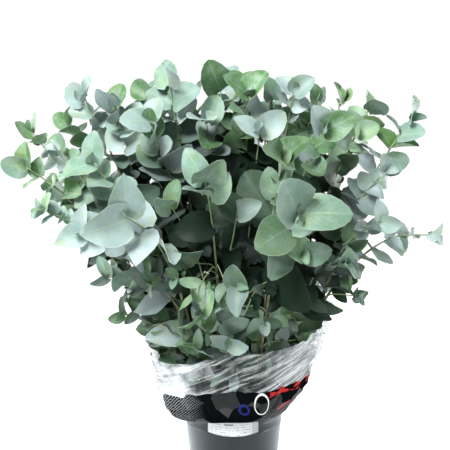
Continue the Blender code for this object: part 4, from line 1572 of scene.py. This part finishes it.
leaves = {}
for name, stems in branches.items():
    draw = random.Random(f"{SEED} {name}")
    leaves[name] = []
    for stem in stems:
        leaves[name] += place_leaves(stem, leafy_places(stem), TRIES, FACE_RANDOM, FACE_UP,
                                     False, draw)
print("leaves of the frame:", sum(len(kept) for kept in leaves.values()))
for name, stems in branches.items():
    draw = random.Random(f"{SEED} {name} between")
    for stem in stems:
        leaves[name] += place_leaves(stem, places_between(stem), BETWEEN_TRIES,
                                     BETWEEN_RANDOM, BETWEEN_UP, True, draw)
print("leaves with the pairs between:", sum(len(kept) for kept in leaves.values()))
twigs = {}
for name, stems in branches.items():
    draw = random.Random(f"{SEED} {name} twigs")
    twigs[name] = []
    for number in range(TWIGS):
        twig = low_twig(f"{name}/twig {number}", number, stems[0], draw)
        if twig:
            twigs[name].append(twig)
            obstacles.add(twig.name, *twig.solid())
            low = number % 2 == 1
            leaves[name] += place_leaves(twig, twig_places(twig), BETWEEN_TRIES,
                                         BETWEEN_RANDOM, LOW_UP if low else BETWEEN_UP,
                                         not low, draw)
print("twigs:", sum(len(kept) for kept in twigs.values()))
print("leaves in all:", sum(len(kept) for kept in leaves.values()))

# %% [markdown]
# A leaf is modelled once in each of four forms, from a flat grid one unit long. In edit mode
# each column of the grid is moved to its place along the leaf and drawn in to the outline's
# width there. The heart-shaped base has its corners pulled back past the stem, the margins
# get waves, and a thin wall makes the blade a closed solid. The grid's own UV map is kept: it
# runs along the leaf and across it, which is what the veins follow.

# %% Leaf forms
LEAF_COLUMNS = 7
LEAF_ROWS = 4
BLADE = 0.008
# Each form: columns as (share of the length, share of the width), how far the base's corners
# reach back, and the height of each margin's waves along the leaf.
LEAF_FORMS = {
    "pointed": ([(0, 0.44), (0.08, 0.80), (0.22, 1.0), (0.40, 1.0), (0.58, 0.84),
                 (0.76, 0.54), (0.91, 0.20), (1.0, 0.0)], 0.06,
                (0.00, 0.03, 0.00, -0.03, 0.01, 0.03, 0.00, 0.0)),
    "broad": ([(0, 0.50), (0.08, 0.88), (0.24, 1.06), (0.44, 1.06), (0.64, 0.93),
               (0.82, 0.66), (0.94, 0.32), (1.0, 0.0)], 0.08,
              (0.02, 0.00, -0.03, 0.00, 0.04, 0.00, -0.01, 0.0)),
    "round": ([(0, 0.46), (0.09, 0.86), (0.26, 1.06), (0.46, 1.10), (0.66, 0.99),
               (0.83, 0.72), (0.95, 0.36), (1.0, 0.0)], 0.06,
              (0.00, 0.02, 0.02, -0.01, -0.03, 0.00, 0.01, 0.0)),
    "wavy": ([(0, 0.46), (0.08, 0.84), (0.23, 1.02), (0.42, 1.04), (0.61, 0.91),
              (0.80, 0.62), (0.93, 0.28), (1.0, 0.0)], 0.07,
             (0.00, 0.06, -0.02, -0.06, 0.03, 0.06, 0.00, 0.0)),
}


def leaf_form(name):
    """One blade, from (0, 0) at the stem to (1, 0) at the tip, one unit wide at most."""
    columns, reach_back, waves = LEAF_FORMS[name]
    deselect_all()
    bpy.ops.mesh.primitive_grid_add(x_subdivisions=LEAF_COLUMNS, y_subdivisions=LEAF_ROWS,
                                    size=1, location=(0.5, 0, 0))
    form = bpy.context.object
    form.name = "leaf_form_" + name
    apply_place(form)
    edit(form)
    # The far columns go first, so that no column is picked twice.
    for number in range(LEAF_COLUMNS, -1, -1):
        share, half = columns[number]
        old = number / LEAF_COLUMNS
        pick(form, lambda p: abs(p.x - old) < 0.001)
        bpy.ops.transform.resize(value=(1, half, 1), center_override=(old, 0, 0))
        bpy.ops.transform.translate(value=(share - old + number * 10, 0, 0))
    for number in range(LEAF_COLUMNS + 1):
        share = columns[number][0]
        pick(form, lambda p: abs(p.x - share - number * 10) < 0.001)
        bpy.ops.transform.translate(value=(-number * 10, 0, 0))
    # The base's corners, and a little of the row inside them, reach back past the stem.
    for column, back in ((0, reach_back), (1, reach_back * 0.5)):
        share = columns[column][0]
        pick(form, lambda p: abs(p.x - share) < 0.001 and abs(p.y) > 0.15)
        bpy.ops.transform.translate(value=(-back, 0, 0))
    for number, wave in enumerate(waves):
        share, half = columns[number]
        for hand in (1, -1):
            pick(form, lambda p: abs(p.x - share) < 0.08 and p.y * hand > 0.35 * half)
            height = wave if hand > 0 else -waves[LEAF_COLUMNS - number] * 0.8
            bpy.ops.transform.translate(value=(0, 0, height))
    bpy.ops.mesh.select_all(action="SELECT")
    bpy.ops.mesh.remove_doubles(threshold=0.0005)
    close_edit()
    wall = form.modifiers.new("blade", "SOLIDIFY")
    wall.thickness = BLADE
    wall.offset = 0.0
    apply_modifiers(form)
    bpy.ops.object.shade_smooth_by_angle(angle=math.radians(60))
    return form


forms = {name: leaf_form(name) for name in LEAF_FORMS}
print("leaf faces:", {name: len(form.data.polygons) for name, form in forms.items()})

# %% [markdown]
# Eucalyptus leaves carry a wax bloom: a thin powder that scatters light and makes the green
# look grey-blue. Under it are a pale midrib, faint side veins and a thin pale margin. The
# blade also lets some light through, and that light comes out much greener. Each leaf holds
# its own tint in a colour attribute: its painted shade (how light it is), how green it is,
# and its share of lime.

# %% Leaf finish
# Real sizes in metres: a patch of bloom, and a warm patch under it.
BLOOM_PATCH = 0.022
WARM_PATCH = 0.030


def leaf_blade(name, pale, usual, deep, lime):
    material = new_finish(name)
    flat = add_node(material, "UVMap")
    place = add_node(material, "TexCoord")
    shade = add_node(material, "Attribute", attribute_name="leaf_tint")
    tint = add_node(material, "SeparateColor", {"Color": shade.outputs["Color"]})
    axes = add_node(material, "SeparateXYZ", {"Vector": flat.outputs["UV"]})
    centred = add_node(material, "Math", {0: axes.outputs["Y"], 1: 0.5}, operation="SUBTRACT")
    off = add_node(material, "Math", {0: centred.outputs["Value"]}, operation="ABSOLUTE")
    # Midrib, margin and side veins, as masks from 0 to 1.
    midrib = add_node(material, "MapRange", {
        "Value": off.outputs["Value"], "From Min": 0.006, "From Max": 0.024, "To Min": 0.50,
        "To Max": 0.0})
    margin = add_node(material, "MapRange", {
        "Value": off.outputs["Value"], "From Min": 0.468, "From Max": 0.494, "To Min": 0.0,
        "To Max": 0.40})
    slant = add_node(material, "Math", {
        0: off.outputs["Value"], 1: -0.75}, operation="MULTIPLY")
    along = add_node(material, "Math", {
        0: axes.outputs["X"], 1: slant.outputs["Value"]}, operation="ADD")
    turns = add_node(material, "Math", {
        0: along.outputs["Value"], 1: 9 * 2 * math.pi}, operation="MULTIPLY")
    wave = add_node(material, "Math", {0: turns.outputs["Value"]}, operation="SINE")
    veins = add_node(material, "MapRange", {
        "Value": wave.outputs["Value"], "From Min": 0.86, "From Max": 1.0, "To Min": 0.0,
        "To Max": 0.24})
    bloom = add_node(material, "TexNoise", {
        "Vector": place.outputs["Object"], "Scale": 1 / BLOOM_PATCH, "Detail": 4.0,
        "Roughness": 0.6})
    powder = add_node(material, "MapRange", {
        "Value": bloom.outputs["Fac"], "From Min": 0.42, "From Max": 0.68, "To Min": 0.0,
        "To Max": 0.28})
    # Greenness runs from pale blue-grey through grey-green to deep green, in two steps.
    low_half = add_node(material, "MapRange", {
        "Value": tint.outputs["Green"], "From Max": 0.5})
    high_half = add_node(material, "MapRange", {
        "Value": tint.outputs["Green"], "From Min": 0.5})
    cool = add_node(material, "Mix", {
        0: low_half.outputs["Result"], 6: paint(pale), 7: paint(usual)}, data_type="RGBA")
    green = add_node(material, "Mix", {
        0: high_half.outputs["Result"], 6: cool.outputs[2], 7: paint(deep)}, data_type="RGBA")
    limed = add_node(material, "Mix", {
        0: tint.outputs["Blue"], 6: green.outputs[2], 7: paint(lime)}, data_type="RGBA")
    # The green under the bloom has warm patches.
    patches = add_node(material, "TexNoise", {
        "Vector": place.outputs["Object"], "Scale": 1 / WARM_PATCH, "Detail": 3.0})
    warmth = add_node(material, "MapRange", {
        "Value": patches.outputs["Fac"], "From Min": 0.48, "From Max": 0.72, "To Min": 0.0,
        "To Max": 0.50})
    warmed = add_node(material, "Mix", {
        0: warmth.outputs["Result"], 6: limed.outputs[2], 7: paint("#8CA06A")},
        data_type="RGBA")
    waxed = add_node(material, "Mix", {
        0: powder.outputs["Result"], 6: warmed.outputs[2], 7: paint("#B9CCD2")},
        data_type="RGBA")
    veined = add_node(material, "Mix", {
        0: veins.outputs["Result"], 6: waxed.outputs[2], 7: paint("#A9BFA2")},
        data_type="RGBA")
    ribbed = add_node(material, "Mix", {
        0: midrib.outputs["Result"], 6: veined.outputs[2], 7: paint("#A9C0A0")},
        data_type="RGBA")
    edged = add_node(material, "Mix", {
        0: margin.outputs["Result"], 6: ribbed.outputs[2], 7: paint("#BFCBB8")},
        data_type="RGBA")
    # Painted shade: deep in the bunch, low down and in the hollows the colour is darkened toward
    # near-black green, by the tone in the attribute's red.
    lit = add_node(material, "Mix", {
        0: tint.outputs["Red"], 6: paint("#13231A"), 7: edged.outputs[2]}, data_type="RGBA")
    relief = add_node(material, "Math", {
        0: midrib.outputs["Result"], 1: veins.outputs["Result"]}, operation="ADD")
    bump = add_node(material, "Bump", {
        "Height": relief.outputs["Value"], "Strength": 0.35, "Distance": 0.0006})
    # Sheen and gloss fade with the painted shade, so the darkened leaves reflect less too.
    velvet = add_node(material, "Math", {
        0: tint.outputs["Red"], 1: 0.16}, operation="MULTIPLY")
    gleam = add_node(material, "MapRange", {
        "Value": tint.outputs["Red"], "To Min": 0.15, "To Max": 0.50})
    skin = add_node(material, "BsdfPrincipled", {
        "Base Color": lit.outputs[2], "Roughness": 0.50, "IOR": 1.45,
        "Specular IOR Level": gleam.outputs["Result"], "Sheen Weight": velvet.outputs["Value"],
        "Sheen Roughness": 0.4, "Sheen Tint": paint("#DCE8EE"),
        "Normal": bump.outputs["Normal"]})
    through = add_node(material, "BsdfTranslucent", {"Color": paint("#86B04E")})
    both = add_node(material, "MixShader", {
        0: 0.12, 1: skin.outputs["BSDF"], 2: through.outputs["BSDF"]})
    add_node(material, "OutputMaterial", {"Surface": both.outputs["Shader"]})
    return material


leaf_face = leaf_blade("waxy eucalyptus leaf face", "#9FB0B2", "#7A9A8C", "#467637", "#8FB184")
leaf_back = leaf_blade("waxy eucalyptus leaf underside", "#B0BEC1", "#93ADA5", "#769B69",
                       "#A3C094")
for form in forms.values():
    form.data.materials.append(leaf_face)
    form.data.materials.append(leaf_back)
    for polygon in form.data.polygons:
        polygon.material_index = 1 if polygon.normal.z < 0 else 0
print("two leaf finishes made")

# %% [markdown]
# Branches of one bunch differ in age and in bloom, and leaves of one stem are alike. So each
# stem draws a family of leaves from its branch's mix, and now and then a leaf draws its own.

# %% Families of leaves
# Families of leaves, as (greenness, lime), and which of them each branch draws from. Twigs and
# leaves below a height have a mix of their own, and one branch has pointed leaves.
FAMILIES = {"pale": (0.06, 0.0), "usual": (0.50, 0.0), "moss": (0.78, 0.15),
            "deep": (0.92, 0.0), "lime": (0.50, 0.60)}
USUAL_MIX = ["pale"] * 3 + ["usual"] * 4 + ["deep"] * 2
BRANCH_MIX = {
    "branch_left_star": ["pale", "usual"],
    "branch_right_star": ["moss", "moss", "usual", "moss"],
    "branch_front_star": ["usual", "moss", "pale", "usual"],
    "branch_low_front": ["usual", "deep", "usual", "usual"],
    "branch_low_left": ["deep", "deep", "usual"],
    "branch_far_left": ["usual", "deep", "lime", "pale", "usual"],
    "branch_upper_left": ["deep", "usual", "pale", "pale", "usual"],
    "branch_tall_left": ["pale", "deep", "usual", "pale"],
    "branch_tall_middle": ["deep", "deep", "usual", "pale"],
    "branch_tall_front": ["deep", "pale", "usual", "pale"],
    "branch_upper_right": ["deep", "usual", "lime"],
    "branch_low_right": ["pale", "pale", "usual"],
}
TWIG_MIX = ["deep"] * 4 + ["usual"] * 2 + ["moss", "pale"]
LOW_MIX_BELOW = 0.57
OWN_FAMILY = 0.35
POINTED_BRANCHES = ("branch_left_star",)
print("families:", list(FAMILIES))

# %% [markdown]
# Each leaf is a copy of one form, with its own mesh. Its points are stretched to the leaf's
# length and width, folded along the midrib, arched toward the tip, swung a little sideways
# and twisted, then set in place. The coarse stems of the frame have corners, and the real
# ones curve, so a leaf also moves by the distance between the two. How deep it sits in the
# crown gives its tone, because the inside of a dense bunch gets hardly any light.

# %% Bending a leaf
# Low leaves are narrower, and vary more in tone, roll and twist, by these factors.
LOW_VARIES = 2.2
LOW_WIDTHS = (0.50, 0.88)
LOW_ROLLS = 1.6
LOW_TWISTS = 2.4
SMALL_LEAF = 0.050
# Each leaf sways, twists, cups, ripples, droops, rolls and nods by a random share of these.
SWAY = 0.10
LEAF_TWIST = 0.30
CUPS = (-0.10, 0.40)
RIPPLE = 0.030
RIPPLES = 9
DROOP = 0.22
ROLL = 0.55
NOD = 0.20
# Leaves high in the crown are drawn up to this much larger than the frame's.
GROW = 0.10
GROW_FROM = 0.60
GROW_OVER = 0.12
# How much greener young leaves are, and how much greenness and tone vary.
YOUNG_GREENER = 0.15
GREEN_VARIES = 0.14
TONE_VARIES = (-0.25, 0.10)
# Leaves deep inside the crown, and those low down, get painted shade: their colour is darkened.
# DEEP is where the painted dark inside ends, as a share of the crown's radius, and DEEP_FADE how
# far it fades out.
DARKEST = 0.10
DEEP = 0.50
DEEP_FADE = 0.34
SHADE_BELOW = 0.60
SHADE_PER_METRE = 1.3
HOLLOW_SHADE = 0.78
HOLLOW_GREEN = 0.80
BRANCH_SHADE = {"branch_right_star": 0.22}
CROWN_RADII = Vector((0.36, 0.27, 0.24))
CROWN_MIDDLE = Vector((-0.01, 0.0, 0.60))


def smooth_at(stem, along):
    """The same place as stem.at(along), on a smooth curve through the stem's points."""
    i = 0
    while i < len(stem.steps) - 1 and along > stem.steps[i]:
        along -= stem.steps[i]
        i += 1
    last = len(stem.spine) - 1
    a, b, c, d = [stem.spine[min(last, max(0, i + k))] for k in (-1, 0, 1, 2)]
    if i == 0:
        a = b * 2 - c
    if i + 1 == last:
        d = c * 2 - b
    return eased(a, b, c, d, along / stem.steps[i])


def set_leaf(name, number, leaf, family, draw):
    """Copies a form into the leaf's place, and gives it the colour of its family, with painted
    shade by its depth in the crown.
    """
    middle = leaf["seat"] @ Vector((leaf["length"] / 2, 0, 0))
    grow = 1 + GROW * min(1.0, max(0.0, (middle.z - GROW_FROM) / GROW_OVER))
    length, width, young = leaf["length"] * grow, leaf["width"] * grow, leaf["young"]
    low = middle.z < LOW_MIX_BELOW
    if low:
        width *= draw.uniform(*LOW_WIDTHS)
    if length < SMALL_LEAF:
        kinds = ["round", "round", "broad"]
    elif name in POINTED_BRANCHES:
        kinds = ["pointed", "pointed", "wavy"]
    else:
        kinds = ["broad", "round", "wavy", "round"]
    kind = draw.choice(kinds)
    blade = forms[kind].data.copy()
    piece = bpy.data.objects.new(f"leaf_{name}_{number}", blade)
    bpy.context.scene.collection.objects.link(piece)
    root = 0.6 * leaf["radius"]
    sway = draw.uniform(-SWAY, SWAY)
    twist = draw.uniform(-LEAF_TWIST, LEAF_TWIST) * (LOW_TWISTS if low else 1.0)
    cup = draw.uniform(*CUPS)
    ripple = draw.uniform(0.0, RIPPLE) * length
    droop = draw.uniform(0.0, DROOP)
    phase = draw.uniform(0, 2 * math.pi)
    shift = smooth_at(leaf["stem"], leaf["along"]) - leaf["stem"].at(leaf["along"])[0]
    roll = draw.uniform(-ROLL, ROLL) * (LOW_ROLLS if low else 1.0)
    nod = draw.uniform(-NOD, NOD / 2)
    tilt = Matrix.Rotation(nod, 4, "Y") @ Matrix.Rotation(roll, 4, "X")
    for vertex in blade.vertices:
        x, y, z = vertex.co
        soft = math.sqrt(y * y + 0.0025) - 0.05
        run = root + x * (length - root)
        over = y * width + sway * length * x * x
        up = z * length + leaf["fold"] * soft * width
        up -= (leaf["arch"] + droop) * length * x * x
        up += cup * length * soft * soft * 2
        up += ripple * math.sin(phase + RIPPLES * x) * (2 * abs(y)) ** 2 * (1 if y > 0 else -1)
        turn = twist * x
        over, up = (over * math.cos(turn) - up * math.sin(turn),
                    over * math.sin(turn) + up * math.cos(turn))
        vertex.co = leaf["seat"] @ (tilt @ Vector((run, over, up))) + shift
    # Painted shade: the tone is darkened deep in the crown, below SHADE_BELOW, on the branches
    # of BRANCH_SHADE and most in the hollows, where the leaves are also made greener.
    away = middle - CROWN_MIDDLE
    depth = Vector([away[k] / CROWN_RADII[k] for k in range(3)]).length
    light = min(1.0, max(0.0, (depth - DEEP) / DEEP_FADE))
    fresh = FAMILIES[family][0] + YOUNG_GREENER * young
    fresh += draw.uniform(-GREEN_VARIES, GREEN_VARIES)
    shaded = max(0.0, SHADE_BELOW - middle.z) * SHADE_PER_METRE
    shaded = max(shaded, BRANCH_SHADE.get(name, 0.0))
    if in_hollow(middle):
        shaded = max(shaded, HOLLOW_SHADE)
        fresh = max(fresh, HOLLOW_GREEN)
    vary = LOW_VARIES if low else 1.0
    tone = (DARKEST + (1 - DARKEST) * light) * (1 - shaded)
    tone += vary * draw.uniform(*TONE_VARIES)
    shade = (min(1, max(0, tone)), min(1, max(0, fresh)), FAMILIES[family][1], 1.0)
    tint = blade.color_attributes.new(name="leaf_tint", type="FLOAT_COLOR", domain="POINT")
    tint.data.foreach_set("color", shade * len(blade.vertices))
    return piece


print("leaves below", LOW_MIX_BELOW, "metres count as low")

# %% [markdown]
# All leaves of a branch become one piece, which stands for that branch's node in the frame.
# The single forms have done their work then, and are removed.

# %% Leaves in place
leafy = {}
for name, kept in leaves.items():
    draw = random.Random(f"{SEED} {name} look")
    stem_family = {}
    pieces = []
    for number, leaf in enumerate(kept):
        mix = BRANCH_MIX.get(name, USUAL_MIX)
        if "twig" in leaf["stem"].name or leaf["seat"].translation.z < LOW_MIX_BELOW:
            mix = TWIG_MIX
        family = stem_family.setdefault(leaf["stem"].name, draw.choice(mix))
        if draw.random() < OWN_FAMILY:
            family = draw.choice(mix)
        pieces.append(set_leaf(name, number, leaf, family, draw))
    leafy[name] = joined("leaves_" + name, pieces)
    finish_piece(leafy[name], "leaf", name)
for form in forms.values():
    bpy.data.objects.remove(form, do_unlink=True)
print("leaf triangles:", sum(2 * len(piece.data.polygons) for piece in leafy.values()))

# %% [markdown]
# A stem is a slim tube that follows the smooth curve. Real twigs swell a little at each pair
# of leaves, so the rings nearest to a pair are moved onto it and widened. One straight tube is
# made first, and each stem is a copy of it, bent onto its own curve. Its bark reads the age of
# each place from an attribute of the mesh.

# %% Stems
TUBE_SIDES = 8
TUBE_RINGS = 56
KNOT = 0.30
KNOT_LENGTH = 0.004
SLIM = 0.85
# Half the step over which a stem's heading is measured, how far below its tip the green ends,
# over what length it turns brown, and the size of a blotch on the bark.
HALF_STEP = 0.002
GREEN_TIP = 0.06
BROWN_OVER = 0.36
BARK_BLOTCH = 0.009

tube = ringed_tube("straight_tube", TUBE_SIDES, TUBE_RINGS, "TRIFAN")
bpy.ops.object.shade_smooth_by_angle(angle=math.radians(50))


def bent_tube(name, stem, pairs):
    """A copy of the tube on a stem's curve. pairs are the lengths along it of its leaves."""
    whole = stem.length()
    rows = [whole * i / (TUBE_RINGS + 1) for i in range(TUBE_RINGS + 2)]
    for pair in pairs:
        nearest = min(range(1, TUBE_RINGS + 1), key=lambda i: abs(rows[i] - pair))
        rows[nearest] = pair
    rows.sort()
    mesh = tube.data.copy()
    piece = bpy.data.objects.new(name, mesh)
    bpy.context.scene.collection.objects.link(piece)
    ages = []
    for vertex in mesh.vertices:
        x, y, z = vertex.co
        row = round((z + 0.5) * (TUBE_RINGS + 1))
        along = rows[row]
        ahead = (smooth_at(stem, min(whole, along + HALF_STEP))
                 - smooth_at(stem, max(0, along - HALF_STEP))).normalized()
        _, _, side, radius = stem.at(along)
        side = (side - ahead * side.dot(ahead)).normalized()
        over = ahead.cross(side)
        near = min([abs(along - pair) for pair in pairs] or [1.0])
        radius *= 1 + KNOT * math.exp(-(near / KNOT_LENGTH) ** 2)
        vertex.co = smooth_at(stem, along) + (side * x + over * y) * radius * SLIM
        ages.append(min(1.0, max(0.0, whole - along - GREEN_TIP) / BROWN_OVER))
    age = mesh.attributes.new(name="age", type="FLOAT", domain="POINT")
    age.data.foreach_set("value", ages)
    return piece


def twig_skin():
    """Young twigs are yellow-green under a little bloom, and turn red-brown as they age."""
    material = new_finish("smooth young eucalyptus bark")
    place = add_node(material, "TexCoord")
    shade = add_node(material, "Attribute", attribute_name="age")
    blotch = add_node(material, "TexNoise", {
        "Vector": place.outputs["Object"], "Scale": 1 / BARK_BLOTCH, "Detail": 3.0})
    shift = add_node(material, "MapRange", {
        "Value": blotch.outputs["Fac"], "From Min": 0.3, "From Max": 0.7, "To Min": -0.25,
        "To Max": 0.25})
    aged = add_node(material, "Math", {
        0: shade.outputs["Fac"], 1: shift.outputs["Result"]}, operation="ADD", use_clamp=True)
    colour = add_node(material, "Mix", {
        0: aged.outputs["Value"], 6: paint("#7F9268"), 7: paint("#503A2E")}, data_type="RGBA")
    surface = add_node(material, "BsdfPrincipled", {
        "Base Color": colour.outputs[2], "Roughness": 0.5, "IOR": 1.45})
    add_node(material, "OutputMaterial", {"Surface": surface.outputs["BSDF"]})
    return material


bark = twig_skin()
for name, stems in branches.items():
    pieces = []
    for number, stem in enumerate(stems + twigs[name]):
        pairs = sorted({leaf["along"] for leaf in leaves[name] if leaf["stem"] is stem})
        pieces.append(bent_tube(f"stem_{name}_{number}", stem, pairs))
    whole = joined("stems_" + name, pieces)
    whole.data.materials.append(bark)
    finish_piece(whole, "leaf", name)
bpy.data.objects.remove(tube, do_unlink=True)
print("stems bent and joined")

# %% [markdown]
